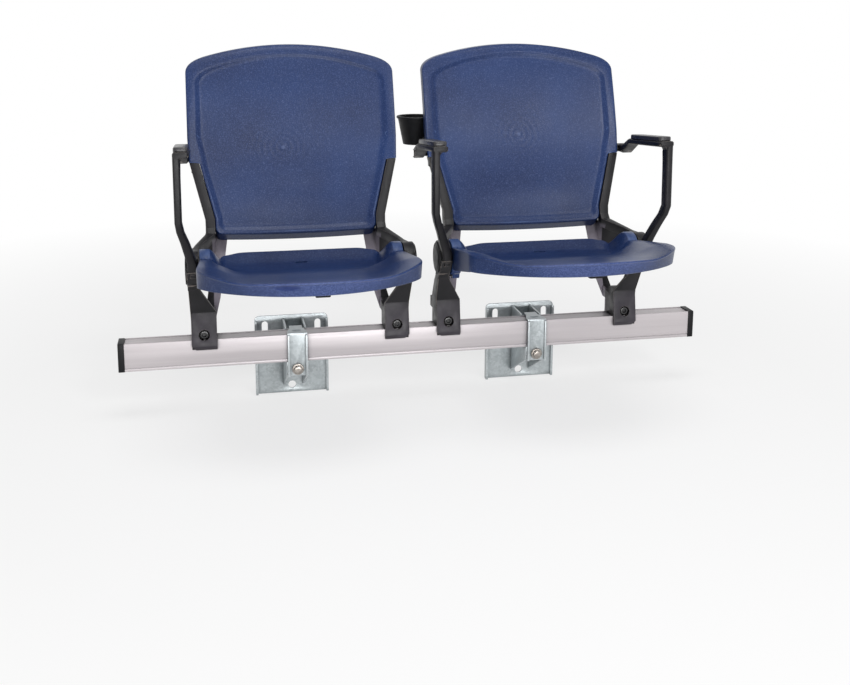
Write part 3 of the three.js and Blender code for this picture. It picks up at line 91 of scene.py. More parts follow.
def bezier(a, b, c, steps):
    points = []
    for t in spread(0.0, 1.0, steps):
        weights = ((1 - t) ** 2, 2 * t * (1 - t), t * t)
        points.append(tuple(sum(w * v for w, v in zip(weights, axis)) for axis in zip(a, b, c)))
    return points


def straight(a, b, steps):
    return [(lerp(a[0], b[0], t), lerp(a[1], b[1], t)) for t in spread(0.0, 1.0, steps)]


def toward(a, b, distance):
    gap = math.hypot(b[0] - a[0], b[1] - a[1])
    share = min(1.0, distance / gap)
    return lerp(a[0], b[0], share), lerp(a[1], b[1], share)


# Meshes
def to_row(point, shift=0.0):
    return (Vector(point) + Vector((shift, 0, 0)) + ORIGIN) * MM


def mesh_object(name, points, faces, angle=40.0):
    mesh = bpy.data.meshes.new(name)
    mesh.from_pydata([tuple(p) for p in points], [], faces)
    mesh.validate()
    piece = bpy.data.objects.new(name, mesh)
    bpy.context.scene.collection.objects.link(piece)
    finish_normals(piece, angle)
    return piece


def finish_normals(piece, angle):
    work = bmesh.new()
    work.from_mesh(piece.data)
    bmesh.ops.recalc_face_normals(work, faces=work.faces)
    limit = math.radians(angle)
    for face in work.faces:
        face.smooth = True
    for edge in work.edges:
        edge.smooth = not (len(edge.link_faces) == 2 and edge.calc_face_angle(0.0) > limit)
    work.to_mesh(piece.data)
    work.free()


def ring_skin(rings, first=None, last=None, looped=False):
    """Points and faces of a skin over equal rings, each end drawn to a point where one is given."""
    count = len(rings[0])
    points = [p for ring in rings for p in ring]
    faces = []
    for r in range(len(rings) if looped else len(rings) - 1):
        here, there = r * count, (r + 1) % len(rings) * count
        for i in range(count):
            j = (i + 1) % count
            faces.append((here + i, here + j, there + j, there + i))
    if first is not None:
        points.append(first)
        faces += [(len(points) - 1, (i + 1) % count, i) for i in range(count)]
    if last is not None:
        points.append(last)
        start = (len(rings) - 1) * count
        faces += [(len(points) - 1, start + i, start + (i + 1) % count) for i in range(count)]
    return points, faces


def merged(parts):
    points, faces = [], []
    for some_points, some_faces in parts:
        base = len(points)
        points += list(some_points)
        faces += [tuple(base + i for i in face) for face in some_faces]
    return points, faces


def mirrored(geometry):
    points, faces = geometry
    return [(-x, y, z) for x, y, z in points], faces


def middle_of(ring):
    return tuple(sum(axis) / len(ring) for axis in zip(*ring))


def swept(rings):
    return ring_skin(rings, middle_of(rings[0]), middle_of(rings[-1]))


def hexagon(turn):
    """How far out a hexagon lies, as a share of the circle through its corners."""
    return math.cos(math.pi / 6) / math.cos(turn % (math.pi / 3) - math.pi / 6)


def turned(profile, centre, axis, sides=96, looped=False):
    """A body about an axis through centre, from (radius, along, hexagon share) points."""
    rings = []
    for radius, along, six in profile:
        ring = []
        for k in range(sides):
            t = 2 * math.pi * k / sides
            reach = radius * lerp(1.0, hexagon(t), six)
            a, b = reach * math.cos(t), reach * math.sin(t)
            offset = {"x": (along, a, b), "y": (a, along, b), "z": (a, b, along)}[axis]
            ring.append(tuple(c + o for c, o in zip(centre, offset)))
        rings.append(ring)
    return ring_skin(rings, looped=True) if looped else swept(rings)


def carved(geometry, tools):
    """A closed body with closed tools cut out of it."""
    body = mesh_object("carve_body", *geometry)
    cutters = []
    for tool in tools:
        cutter = mesh_object("carve_tool", *tool)
        cutters.append(cutter)
        modifier = body.modifiers.new("carve", "BOOLEAN")
        modifier.operation = "DIFFERENCE"
        modifier.solver = "EXACT"
        modifier.object = cutter
    bpy.context.view_layer.update()
    seen = body.evaluated_get(bpy.context.evaluated_depsgraph_get())
    mesh = bpy.data.meshes.new_from_object(seen)
    points = [tuple(v.co) for v in mesh.vertices]
    faces = [tuple(p.vertices) for p in mesh.polygons]
    for item in [body, *cutters]:
        spare = item.data
        bpy.data.objects.remove(item)
        bpy.data.meshes.remove(spare)
    bpy.data.meshes.remove(mesh)
    return points, faces


def place(name, node, geometry, shift, material, angle=40.0, tip=0.0):
    """Show a shape in place of a CAD node, shifted along the row and tipped up about the hinge."""
    points, faces = geometry
    points = [Vector(p) for p in points]
    if tip:
        hinge = Vector((0, HUB_Y, HUB_Z))
        turn = Matrix.Rotation(-math.radians(tip), 3, "X")
        points = [turn @ (p - hinge) + hinge for p in points]
    stand_for(node, mesh_object(name, [to_row(p, shift) for p in points], faces, angle), material)


def stand_for(node, piece, material):
    """Dress a piece and show it in place of a CAD node, on the same body."""
    piece.data.materials.clear()
    piece.data.materials.append(LOOKS[material])
    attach(piece, body_of(node))
    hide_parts(node)


# Points of a CAD node this near, in metres, are one, and faces this flat, in degrees, are joined
WELD = 2e-5
FLAT = 0.7


def softened(node, material, width, segments=2, angle=24.0, smooth_angle=32.0):
    """A copy of a CAD node with its edges rounded, shown in its place."""
    mesh = nodes[node].data.copy()
    mesh.name = "shape_" + node
    work = bmesh.new()
    work.from_mesh(mesh)
    bmesh.ops.remove_doubles(work, verts=work.verts, dist=WELD)
    bmesh.ops.dissolve_limit(work, angle_limit=math.radians(FLAT), verts=work.verts, edges=work.edges)
    limit = math.radians(angle)
    sharp = [e for e in work.edges if len(e.link_faces) == 2 and e.calc_face_angle(0.0) > limit]
    bmesh.ops.bevel(
        work, geom=sharp, offset=width * MM, segments=segments, profile=0.5, affect="EDGES",
        clamp_overlap=False, miter_outer="ARC",
    )
    work.to_mesh(mesh)
    work.free()
    piece = bpy.data.objects.new("soft_" + node, mesh)
    bpy.context.scene.collection.objects.link(piece)
    finish_normals(piece, smooth_angle)
    stand_for(node, piece, material)


# Materials
class Shader:
    """A material under construction: its tree, its main shader and short ways to add nodes."""

    def __init__(self, name):
        self.material = bpy.data.materials.new(name)
        self.material.use_nodes = True
        self.tree = self.material.node_tree
        self.main = self.tree.nodes["Principled BSDF"]
        self.place = self.node("ShaderNodeTexCoord").outputs["Object"]

    def set(self, **values):
        for key, value in values.items():
            self.main.inputs[key.replace("_", " ")].default_value = value

    def node(self, kind, inputs=None, **settings):
        made = self.tree.nodes.new(kind)
        for key, value in settings.items():
            setattr(made, key, value)
        for key, value in (inputs or {}).items():
            if hasattr(value, "is_output"):
                self.tree.links.new(value, made.inputs[key])
            else:
                made.inputs[key].default_value = value
        return made

    def noise(self, scale, detail=3.0, rough=0.5, stretch=None):
        vector = self.place
        if stretch:
            vector = self.node("ShaderNodeMapping", {"Vector": self.place, "Scale": stretch}).outputs[0]
        inputs = {"Vector": vector, "Scale": scale, "Detail": detail, "Roughness": rough}
        return self.node("ShaderNodeTexNoise", inputs).outputs["Fac"]

    def cells(self, scale):
        inputs = {"Vector": self.place, "Scale": scale}
        return self.node("ShaderNodeTexVoronoi", inputs, feature="SMOOTH_F1").outputs["Distance"]

    def remap(self, value, low, high, to_low=0.0, to_high=1.0):
        inputs = {"Value": value, "From Min": low, "From Max": high, "To Min": to_low, "To Max": to_high}
        return self.node("ShaderNodeMapRange", inputs).outputs[0]

    def maths(self, operation, a, b=0.0):
        return self.node("ShaderNodeMath", {0: a, 1: b}, operation=operation).outputs[0]

    def blend(self, share, a, b):
        """From colour a to colour b; sockets 6, 7 and 2 are the mix node's own for colours."""
        return self.node("ShaderNodeMix", {0: share, 6: a, 7: b}, data_type="RGBA").outputs[2]

    def axes(self):
        return self.node("ShaderNodeSeparateXYZ", {0: self.place}).outputs

    def nearness(self, reach, inside):
        """How open the surface is within reach: 1 on a flat, less by an edge (inside) or in a corner."""
        made = self.node("ShaderNodeAmbientOcclusion", {"Distance": reach}, samples=6)
        made.inside, made.only_local = inside, inside
        return made.outputs["AO"]

    def edge_wear_and_highlight(self, reach, most):
        """Edges that are rubbed and given a painted highlight, within reach of them."""
        patchy = self.remap(self.noise(45.0, 4.0), 0.35, 0.65, 0.4, 1.0)
        return self.maths("MULTIPLY", self.remap(self.nearness(reach, True), 0.85, 0.55, 0.0, most), patchy)

    def corner_shade(self, reach, most):
        """Painted shade in corners and creases, within reach of them."""
        return self.remap(self.nearness(reach, False), 0.85, 0.35, 0.0, most)

    def bump(self, height, distance, strength=1.0, below=None):
        inputs = {"Height": height, "Distance": distance, "Strength": strength}
        if below is not None:
            inputs["Normal"] = below
        return self.node("ShaderNodeBump", inputs).outputs[0]

    def use(self, colour=None, roughness=None, normal=None):
        for key, value in (("Base Color", colour), ("Roughness", roughness), ("Normal", normal)):
            if value is not None:
                self.tree.links.new(value, self.main.inputs[key])
        return self.material


def linear(code):
    """A colour written as a hexadecimal screen colour."""
    channels = [int(code[i:i + 2], 16) / 255 for i in (0, 2, 4)]
    return tuple(c / 12.92 if c <= 0.04045 else ((c + 0.055) / 1.055) ** 2.4 for c in channels) + (1.0,)


# Masks in metres of the row. Where the moulds were filled: the middle of faint rings on each back
GATES = [(-0.008, 0.450), (0.516, 0.467)]
GATE_REACH = 0.072
GATE_PITCH = 0.013
GATE_DOT = (0.0025, 0.0045)
# The oval on the left pan's front face: its middle and half size across and up, and the face it is on
OVAL_ACROSS = (-0.040, 0.022)
OVAL_UP = (0.2652, 0.006)
OVAL_BEFORE = -0.418
OVAL_FADE = 0.004
# Masks from start to full: painted highlight on the fronts of the pans, painted sheen on the straps of the
# struts and on the feet of castings
FRONT_HIGHLIGHT = (-0.405, -0.445)
STRUT_REACH = 0.176
STRUT_FADE = 0.001
STRUT_BEHIND = (-0.070, -0.064)
STRUT_BELOW = (0.272, 0.266)
FOOT_FRONT = (-0.113, -0.119)
FOOT_BELOW = (0.136, 0.131)


def gate_rings(s):
    """Height of the faint rings around the gates, and how near a gate is."""
    x, _, z = s.axes()
    rings, dots = 0.0, 0.0
    for gate_x, gate_z in GATES:
        across = s.maths("SUBTRACT", x, gate_x)
        up = s.maths("SUBTRACT", z, gate_z)
        squares = s.maths("ADD", s.maths("MULTIPLY", across, across), s.maths("MULTIPLY", up, up))
        away = s.maths("SQRT", squares)
        wave = s.maths("SINE", s.maths("MULTIPLY", away, 2 * math.pi / GATE_PITCH))
        fade = s.remap(away, 0.0, GATE_REACH, 1.0, 0.0)
        rings = s.maths("ADD", s.maths("MULTIPLY", wave, fade), rings)
        dots = s.maths("ADD", s.remap(away, *GATE_DOT, 1.0, 0.0), dots)
    return rings, dots


def oval_share(s):
    """Inside the smooth, darker oval on the left pan's front face."""
    x, y, z = s.axes()
    away = 0.0
    for along, middle, reach in ((x, *OVAL_ACROSS), (z, *OVAL_UP)):
        part = s.maths("DIVIDE", s.maths("SUBTRACT", along, middle), reach)
        away = s.maths("ADD", s.maths("MULTIPLY", part, part), away)
    front = s.remap(y, OVAL_BEFORE + OVAL_FADE, OVAL_BEFORE)
    return s.maths("MULTIPLY", s.remap(away, 0.6, 1.3, 0.7, 0.0), front)


def seat_polymer():
    """Blue skin; it reflects the stage as well, so its colours are written darker than they are seen."""
    s = Shader("seat_polymer")
    cloud = s.noise(6.0, 2.0)
    colour = s.blend(s.remap(cloud, 0.3, 0.7), linear("0f2148"), linear("19305d"))
    speck = s.noise(430.0, 2.0, 0.7)
    colour = s.blend(s.remap(speck, 0.5, 0.7, 0.0, 0.5), colour, linear("50608c"))
    # Edges lighter: rubbed and a painted edge highlight; corners darker with painted shade
    colour = s.blend(s.edge_wear_and_highlight(0.0012, 0.5), colour, linear("5f76a8"))
    colour = s.blend(s.corner_shade(0.012, 0.7), colour, linear("0e1a34"))
    # A painted highlight, speckled, on the pans' front faces
    front = s.remap(s.axes()[1], *FRONT_HIGHLIGHT)
    front_highlight = s.maths("MULTIPLY", front, s.remap(speck, 0.4, 0.62, 0.2, 0.65))
    colour = s.blend(front_highlight, colour, linear("566394"))
    colour = s.blend(oval_share(s), colour, linear("10245a"))
    rings, dots = gate_rings(s)
    colour = s.blend(s.maths("MULTIPLY", dots, 0.25), colour, linear("6a7aa4"))
    rough = s.remap(s.noise(9.0, 3.0), 0.3, 0.7, 0.3, 0.37)
    normal = s.bump(s.cells(430.0), 0.00025, 0.6)
    normal = s.bump(s.noise(900.0, 2.0), 0.0002, 0.4, normal)
    normal = s.bump(rings, 0.00016, 0.5, normal)
    s.set(IOR=1.5, Specular_IOR_Level=0.24)
    return s.use(colour, rough, normal)


def strut_side(s, x):
    """Where x is near enough to a seat's middle to be on the strap of a strut."""
    near = 0.0
    for seat in SEATS.values():
        away = s.maths("ABSOLUTE", s.maths("SUBTRACT", x, (seat + ORIGIN[0]) * MM))
        near = s.maths("ADD", s.remap(away, STRUT_REACH + STRUT_FADE, STRUT_REACH), near)
    return near


def cast_black():
    """Painted castings, paler with a painted sheen on the strut behind the beam and on the foot's front."""
    s = Shader("cast_black")
    colour = s.blend(s.remap(s.noise(30.0, 4.0), 0.35, 0.7), linear("0e0e11"), linear("1a181c"))
    x, y, z = s.axes()
    # A painted sheen, paler grey with streaks, on the strut behind the beam
    behind = s.remap(y, *STRUT_BEHIND)
    low = s.remap(z, *STRUT_BELOW)
    strut_sheen = s.maths("MULTIPLY", s.maths("MULTIPLY", behind, low), strut_side(s, x))
    streak = s.remap(s.noise(22.0, 4.0, 0.6, (1, 1, 0.3)), 0.3, 0.7)
    grey = s.blend(streak, linear("615b66"), linear("8d8790"))
    colour = s.blend(strut_sheen, colour, grey)
    # A painted sheen, lighter in patches, on the front of each foot
    foot = s.maths("MULTIPLY", s.remap(y, *FOOT_FRONT), s.remap(z, *FOOT_BELOW))
    foot = s.maths("MULTIPLY", foot, s.remap(s.noise(35.0, 4.0), 0.3, 0.7, 0.35, 0.85))
    colour = s.blend(foot, colour, linear("403c43"))
    # Edges lighter: rubbed paint and a painted edge highlight; corners darker with painted shade
    colour = s.blend(s.edge_wear_and_highlight(0.002, 0.75), colour, linear("8a827c"))
    colour = s.blend(s.corner_shade(0.02, 0.9), colour, linear("060607"))
    rough = s.remap(s.noise(60.0, 4.0), 0.3, 0.7, 0.36, 0.52)
    normal = s.bump(s.noise(700.0, 3.0, 0.6), 0.0003, 0.5)
    s.set(IOR=1.5, Specular_IOR_Level=0.3)
    return s.use(colour, rough, normal)


def moulded_black():
    s = Shader("moulded_black")
    colour = s.blend(s.remap(s.noise(40.0, 3.0), 0.35, 0.7), linear("0b0b0d"), linear("141518"))
    # Edges lighter: rubbed and a painted edge highlight
    colour = s.blend(s.edge_wear_and_highlight(0.0015, 0.5), colour, linear("4a4a4e"))
    rough = s.remap(s.noise(80.0, 3.0), 0.3, 0.7, 0.4, 0.55)
    normal = s.bump(s.noise(1200.0, 2.0), 0.0002, 0.5)
    s.set(Specular_IOR_Level=0.2)
    return s.use(colour, rough, normal)


def pad_black():
    s = Shader("pad_black")
    colour = s.blend(s.remap(s.noise(30.0, 3.0), 0.35, 0.7), linear("252427"), linear("333236"))
    # Edges lighter: rubbed and a painted edge highlight
    colour = s.blend(s.edge_wear_and_highlight(0.002, 0.6), colour, linear("7a7674"))
    rough = s.remap(s.noise(50.0, 3.0), 0.3, 0.7, 0.26, 0.38)
    normal = s.bump(s.cells(700.0), 0.0004, 0.5)
    return s.use(colour, rough, normal)


def rubber_black():
    s = Shader("rubber_black")
    colour = s.blend(s.remap(s.noise(60.0, 3.0), 0.35, 0.7), linear("0d0d0f"), linear("161618"))
    rough = s.remap(s.noise(90.0, 3.0), 0.3, 0.7, 0.66, 0.82)
    s.set(Specular_IOR_Level=0.25)
    return s.use(colour, rough, s.bump(s.noise(900.0, 2.0), 0.0002, 0.5))


def bolt_black():
    s = Shader("bolt_black")
    colour = s.blend(s.remap(s.noise(120.0, 3.0), 0.35, 0.7), linear("0d0d0f"), linear("1a1a1c"))
    # Edges lighter: rubbed and a painted edge highlight
    colour = s.blend(s.edge_wear_and_highlight(0.001, 0.6), colour, linear("6e6e70"))
    rough = s.remap(s.noise(150.0, 3.0), 0.3, 0.7, 0.2, 0.32)
    s.set(IOR=1.6)
    return s.use(colour, rough, s.bump(s.noise(900.0, 2.0), 0.0001, 0.4))


def beam_aluminium():
    s = Shader("beam_aluminium")
    drawn = s.noise(60.0, 4.0, 0.6, (0.02, 1.0, 1.0))
    fine = s.noise(500.0, 3.0, 0.6, (0.01, 1.0, 1.0))
    colour = s.blend(s.remap(drawn, 0.3, 0.7), linear("b6b0b2"), linear("c4bec0"))
    # Creases darker with painted shade
    colour = s.blend(s.corner_shade(0.014, 0.95), colour, linear("5a585c"))
    rough = s.remap(fine, 0.3, 0.7, 0.36, 0.48)
    s.set(Metallic=0.4)
    return s.use(colour, rough, s.bump(fine, 0.0001, 0.35))


def zinc_plate():
    s = Shader("zinc_plate")
    flakes = s.node("ShaderNodeTexVoronoi", {"Vector": s.place, "Scale": 240.0}).outputs["Color"]
    tone = s.node("ShaderNodeSeparateColor", {0: flakes}).outputs[0]
    colour = s.blend(tone, linear("a5acae"), linear("bbc1c3"))
    colour = s.blend(s.remap(s.noise(30.0, 4.0), 0.4, 0.75, 0.0, 0.5), colour, linear("aab1b4"))
    # Edges near white: rubbed zinc and a painted edge highlight; corners darker with painted shade
    colour = s.blend(s.edge_wear_and_highlight(0.002, 0.7), colour, linear("f0f3f4"))
    colour = s.blend(s.corner_shade(0.015, 0.7), colour, linear("5c6366"))
    rough = s.maths("ADD", s.maths("MULTIPLY", tone, 0.14), 0.32)
    s.set(Metallic=0.5)
    return s.use(colour, rough, s.bump(s.noise(60.0, 3.0), 0.0004, 0.3))


def bolt_steel():
    s = Shader("bolt_steel")
    colour = s.blend(s.remap(s.noise(80.0, 4.0), 0.35, 0.7), linear("8a847f"), linear("a9a39c"))
    rough = s.remap(s.noise(200.0, 3.0), 0.3, 0.7, 0.24, 0.38)
    s.set(Metallic=0.9)
    return s.use(colour, rough, s.bump(s.noise(500.0, 3.0), 0.0002, 0.4))


def bush_polymer():
    s = Shader("bush_polymer")
    colour = s.blend(s.remap(s.noise(60.0, 3.0), 0.35, 0.7), linear("c6c6bf"), linear("d6d6cf"))
    rough = s.remap(s.noise(90.0, 3.0), 0.3, 0.7, 0.4, 0.52)
    return s.use(colour, rough, s.bump(s.noise(900.0, 2.0), 0.0002, 0.4))


LOOKS = {
    maker.__name__: maker() for maker in (
        seat_polymer, cast_black, moulded_black, pad_black, rubber_black, bolt_black, beam_aluminium,
        zinc_plate, bolt_steel, bush_polymer,
    )
}

# Hinge, as in the CAD source
HUB_Y = -20.0
HUB_Z = 155.0

# Seat back, as in the CAD source
BACK_HALF = 221.0
BACK_TOP = 586.0
# Its face leans back from a line across it, and curves above that line
BACK_BEND_Z = 345.0
BACK_BEND_Y = 119.5
BACK_SLOPE = 0.25
BACK_CURVE = 0.00035
BACK_LIP_Z = 199.0
BACK_LIP_DROP = 16.0
BACK_BOW = 5.0
BACK_FOOT_HALF = 169.5
BACK_DOME_HALF = 177.9
BACK_DOME_DROP = 24.0
BACK_CORNER = 34.0
BACK_FOOT_CORNER = 14.0
BACK_STEP_Z = 345.3
BACK_STEP_HALF = 219.0
BACK_WAIST = 197.9
BACK_WAIST_LOW_Z = 230.0
BACK_SCREW_Z = 395.0
BACK_RIM = 22.0
BACK_RIM_WALL = 4.0
BACK_SKIN = 5.0
BACK_RECESS = 5.0
BACK_DISH = 10.0
BACK_BORDER = 23.0
BACK_MIDDLE_Z = 400.0
BACK_EDGE_ROUND = 3.0
BACK_PANEL_STEP = 14.0
# A shallow hollow across the lower back
HOLLOW_Z = 268.0
HOLLOW_SPAN = 48.0
HOLLOW_DEPTH = 5.0
# Ribs and screw bosses behind the panel, and the top of the notches for the standard
RIB_WALL = 3.0
RIB_PITCH = 84.0
RIB_LOW_Z = 215.0
RIB_HIGH_Z = 546.0
RIB_CROSS_SHARES = (0.3, 0.7)
SPINE_X = 206.75
SPINE_SET = 11.0
BOSS_RADIUS = 9.0
BOSS_START = 4.2
BOSS_SHORT = 0.3
BOSS_EDGE = 0.5
SCREW_HOLE = 3.8
NOTCH_HIGH_Z = 368.0


def back_front(z):
    above = max(0.0, z - BACK_BEND_Z)
    return BACK_BEND_Y + BACK_SLOPE * (z - BACK_BEND_Z) + BACK_CURVE * above * above


def back_face(x, z):
    share = min(1.0, abs(x) / BACK_HALF)
    crown = 1.0 - share * share
    return back_front(z) + BACK_DISH * crown + HOLLOW_DEPTH * bell(z, HOLLOW_Z, HOLLOW_SPAN) * crown ** 2


def foot_bow(x, foot):
    return foot - BACK_BOW * (1.0 - min(1.0, (x / BACK_FOOT_HALF) ** 2))


def back_outline(inset, foot, foot_half, sides):
    """Round the back from the middle of its foot, up its right side and down its left: x, z."""
    half = BACK_HALF - inset
    r = BACK_FOOT_CORNER
    corner_z = foot_bow(foot_half - r, foot) + r
    top = BACK_TOP - inset
    radius = (BACK_DOME_HALF ** 2 + BACK_DOME_DROP ** 2) / (2 * BACK_DOME_DROP)
    sweep = math.degrees(math.asin(BACK_DOME_HALF / radius))
    squeeze = (BACK_DOME_HALF - inset) / BACK_DOME_HALF
    shoulder = top - BACK_DOME_DROP
    fall = (half - BACK_DOME_HALF + inset) * 2 * BACK_DOME_DROP / BACK_DOME_HALF
    right = [(x, foot_bow(x, foot)) for x in spread(0, foot_half - r, 16)]
    right += polar(foot_half - r, corner_z, r, -90, 0, 8)[1:-1]
    stops = [(foot_half, corner_z), *sides, (half, BACK_SCREW_Z), (half, shoulder - BACK_CORNER)]
    for a, b, steps in zip(stops, stops[1:], (4, 14, 6, 6, 12)):
        right += straight(a, b, steps)[:-1]
    right += bezier(stops[-1], (half, shoulder - fall), (BACK_DOME_HALF - inset, shoulder), 14)[:-1]
    right += [(x * squeeze, z) for x, z in polar(0, top - radius, radius, 90 - sweep, 90, 22)]
    return right + [(-x, z) for x, z in reversed(right[1:-1])]


def shell_outline(foot):
    sides = [(BACK_FOOT_HALF, BACK_WAIST_LOW_Z), (BACK_WAIST, BACK_STEP_Z), (BACK_STEP_HALF, BACK_STEP_Z)]
    return back_outline(0, foot, BACK_FOOT_HALF, sides)


def panel_outline():
    border = BACK_BORDER / 2
    foot_half = BACK_FOOT_HALF - border
    waist = BACK_WAIST - border
    sides = [(foot_half, BACK_WAIST_LOW_Z), (waist, BACK_STEP_Z - 8), (waist + 2, BACK_STEP_Z + 8)]
    return back_outline(BACK_BORDER, BACK_LIP_Z + border, foot_half, sides)


def rim_depth(x, z, depth):
    """The rim stops where the standard reaches in behind the shell."""
    notched = abs(x) >= BACK_WAIST and z < NOTCH_HIGH_Z
    return min(depth, BACK_SKIN + 0.5) if notched else depth


def back_skin():
    """The skin of a back: up behind the panel, round the rim and its lip, and over the face."""
    shell = shell_outline(BACK_LIP_Z)
    rear = shell_outline(BACK_LIP_Z - BACK_LIP_DROP)
    panel = panel_outline()
    middle = (0.0, BACK_MIDDLE_Z)
    deep = BACK_RECESS + BACK_SKIN
    rings = []

    def ring(outline, depth):
        rings.append([(x, back_face(x, z) + depth, z) for x, z in outline])

    def panel_ring(share, depth):
        ring([(lerp(middle[0], x, share), lerp(middle[1], z, share)) for x, z in panel], depth)

    def lip_ring(share, inset, depth):
        """A ring part of the way down the rim, its foot following the sloping lip."""
        points = []
        for a, b, inward in zip(shell, rear, panel):
            x, z = toward((lerp(a[0], b[0], share), lerp(a[1], b[1], share)), inward, inset)
            points.append((x, back_face(*a) + rim_depth(*a, depth), z))
        rings.append(points)

    for share in spread(0.1, 1.0, 12):
        panel_ring(share, deep)
    ring([toward(p, q, 6.0) for p, q in zip(panel, shell)], BACK_SKIN)
    lip_ring(0.2, BACK_RIM_WALL, BACK_SKIN)
    lip_ring(1.0, BACK_RIM_WALL, BACK_RIM - 0.8)
    lip_ring(1.0, BACK_RIM_WALL - 0.8, BACK_RIM)
    lip_ring(1.0, 0.8, BACK_RIM)
    lip_ring(1.0, 0.0, BACK_RIM - 0.8)
    lip_ring(0.6, 0.0, BACK_RIM * 0.6)
    for turn in spread(0, 90, 5):
        a = math.radians(turn)
        drawn, sunk = 1 - math.cos(a), 1 - math.sin(a)
        lip_ring(0.12 * sunk, BACK_EDGE_ROUND * drawn, BACK_EDGE_ROUND * sunk)
    ring([toward(p, q, 6.0) for p, q in zip(shell, panel)], 0.0)
    for share in spread(0.0, 1.0, 8):
        reach = BACK_PANEL_STEP * abs(0.5 - share)
        aims = shell if share < 0.5 else [middle] * len(panel)
        ring([toward(p, q, reach) for p, q in zip(panel, aims)], BACK_RECESS * smooth(share, 0, 1))
    for share in spread(0.94, 0.04, 34):
        panel_ring(share, BACK_RECESS)
    face = back_face(*middle)
    return ring_skin(rings, (0.0, face + deep, BACK_MIDDLE_Z), (0.0, face + BACK_RECESS, BACK_MIDDLE_Z))


def back_slab(x0, x1, z0, z1, near, far):
    """A body behind the face, from one depth to another."""
    across = spread(x0, x1, 8)
    rings = []
    for z in spread(z0, z1, 24):
        ring = [(x, back_face(x, z) + near, z) for x in across]
        rings.append(ring + [(x, back_face(x, z) + far, z) for x in reversed(across)])
    return swept(rings)


def back_ribs():
    near, far = BACK_RECESS + BACK_SKIN - 1.0, BACK_RIM - RIB_WALL
    bars = []
    for x in (-RIB_PITCH, 0.0, RIB_PITCH):
        bars.append(back_slab(x - RIB_WALL / 2, x + RIB_WALL / 2, RIB_LOW_Z, RIB_HIGH_Z, near, far))
    for share in RIB_CROSS_SHARES:
        z = lerp(RIB_LOW_Z, RIB_HIGH_Z, share)
        bars.append(back_slab(-RIB_PITCH, RIB_PITCH, z, z + RIB_WALL, near, far))
    return bars


def screw_boss(side):
    """The boss of a back screw, started deep enough in the skin to stay under its sloping face."""
    start = back_face(SPINE_X, BACK_SCREW_Z) + BOSS_START
    end = back_front(BACK_SCREW_Z) + SPINE_SET - BACK_DISH / 4 - BOSS_SHORT
    profile = [
        (SCREW_HOLE, start, 0), (BOSS_RADIUS, start, 0), (BOSS_RADIUS, end - BOSS_EDGE, 0),
        (BOSS_RADIUS - BOSS_EDGE, end, 0), (SCREW_HOLE, end, 0),
    ]
    return turned(profile, (side * SPINE_X, 0, BACK_SCREW_Z), "y", 48, looped=True)


def back_geometry():
    return merged([back_skin(), *back_ribs(), screw_boss(1), screw_boss(-1)])


# Seat pan, as in the CAD source but for rounder tips, lower ears and deeper sides
PAN_FRONT_Y = -338.0
PAN_FRONT_Z = 197.0
PAN_TIP_Y = -204.0
PAN_TIP_HALF = 208.5
PAN_TIP_CORNER = 52.0
PAN_FRONT_RADIUS = 262.0
PAN_HINGE_HALF = 203.0
PAN_REAR_Y = 30.0
PAN_REAR_HALF = 158.0
PAN_SKIN = 5.0
PAN_FACE = 29.0
PAN_FACE_LEAN = 16.0
PAN_SIDE_LEAN = 1.0
PAN_FALL = 0.035
PAN_SIDE_RISE = 6.0
# Behind these lines the rim falls faster and the side walls grow deeper
PAN_SIDE_FALL_Y = -187.0
PAN_SIDE_FALL = 0.095
PAN_SIDE_DEEP_Y = -215.0
PAN_SIDE_DEEP = 0.16
# The rear edge is lifted, and dips beside the ears
PAN_REAR_LIFT = 2.0
PAN_REAR_DIP = 5.0
PAN_REAR_DIP_X = 152.0
PAN_REAR_DIP_SPAN = 20.0
# The dish, and its floor as y and z from the front to the rear
PAN_DISH_HALF = 111.65
PAN_DISH_EDGE = 194.0
PAN_FLOOR = [(-338.0, 197.0), (-190.0, 175.0), (-45.0, 150.0), (0.0, 152.0), (30.0, 171.0)]
PAN_EASE = 10.0
PAN_EDGE_ROUND = 3.0
PAN_MIDDLE = (0.0, -150.0)
EAR_RADIUS = 37.0
EAR_WIDTH = 28.0
EAR_RIM_WIDTH = 20.0
EAR_RIM_EASE = 3.0
EAR_BORE = 9.3
EAR_HUB = 14.0
EAR_POCKET = 19.0
DRAIN_HALF = 13.0
DRAIN_DEPTH = 5.0
PAN_RIB_PITCH = 75.1
PAN_RIB_WALL = 3.0
PAN_RIB_CROSS_Y = -190.0
PAN_RIB_SET = 10.0
# A bare oval pressed into the left pan's front face
OVAL_X = -54.0
OVAL_HALF = 24.0
OVAL_SHARES = (0.16, 0.58)
OVAL_DEPTH = 1.4


def pan_rim(x, y):
    share = x / PAN_TIP_HALF
    fall = PAN_FALL * (y - PAN_FRONT_Y) + PAN_SIDE_FALL * max(0.0, y - PAN_SIDE_FALL_Y)
    return PAN_FRONT_Z - fall + PAN_SIDE_RISE * share * share


def pan_floor(y):
    return (follow(PAN_FLOOR, y - PAN_EASE) + 2 * follow(PAN_FLOOR, y) + follow(PAN_FLOOR, y + PAN_EASE)) / 4


def ear_top(y):
    return HUB_Z + math.sqrt(max(0.0, EAR_RADIUS ** 2 - (y - HUB_Y) ** 2))


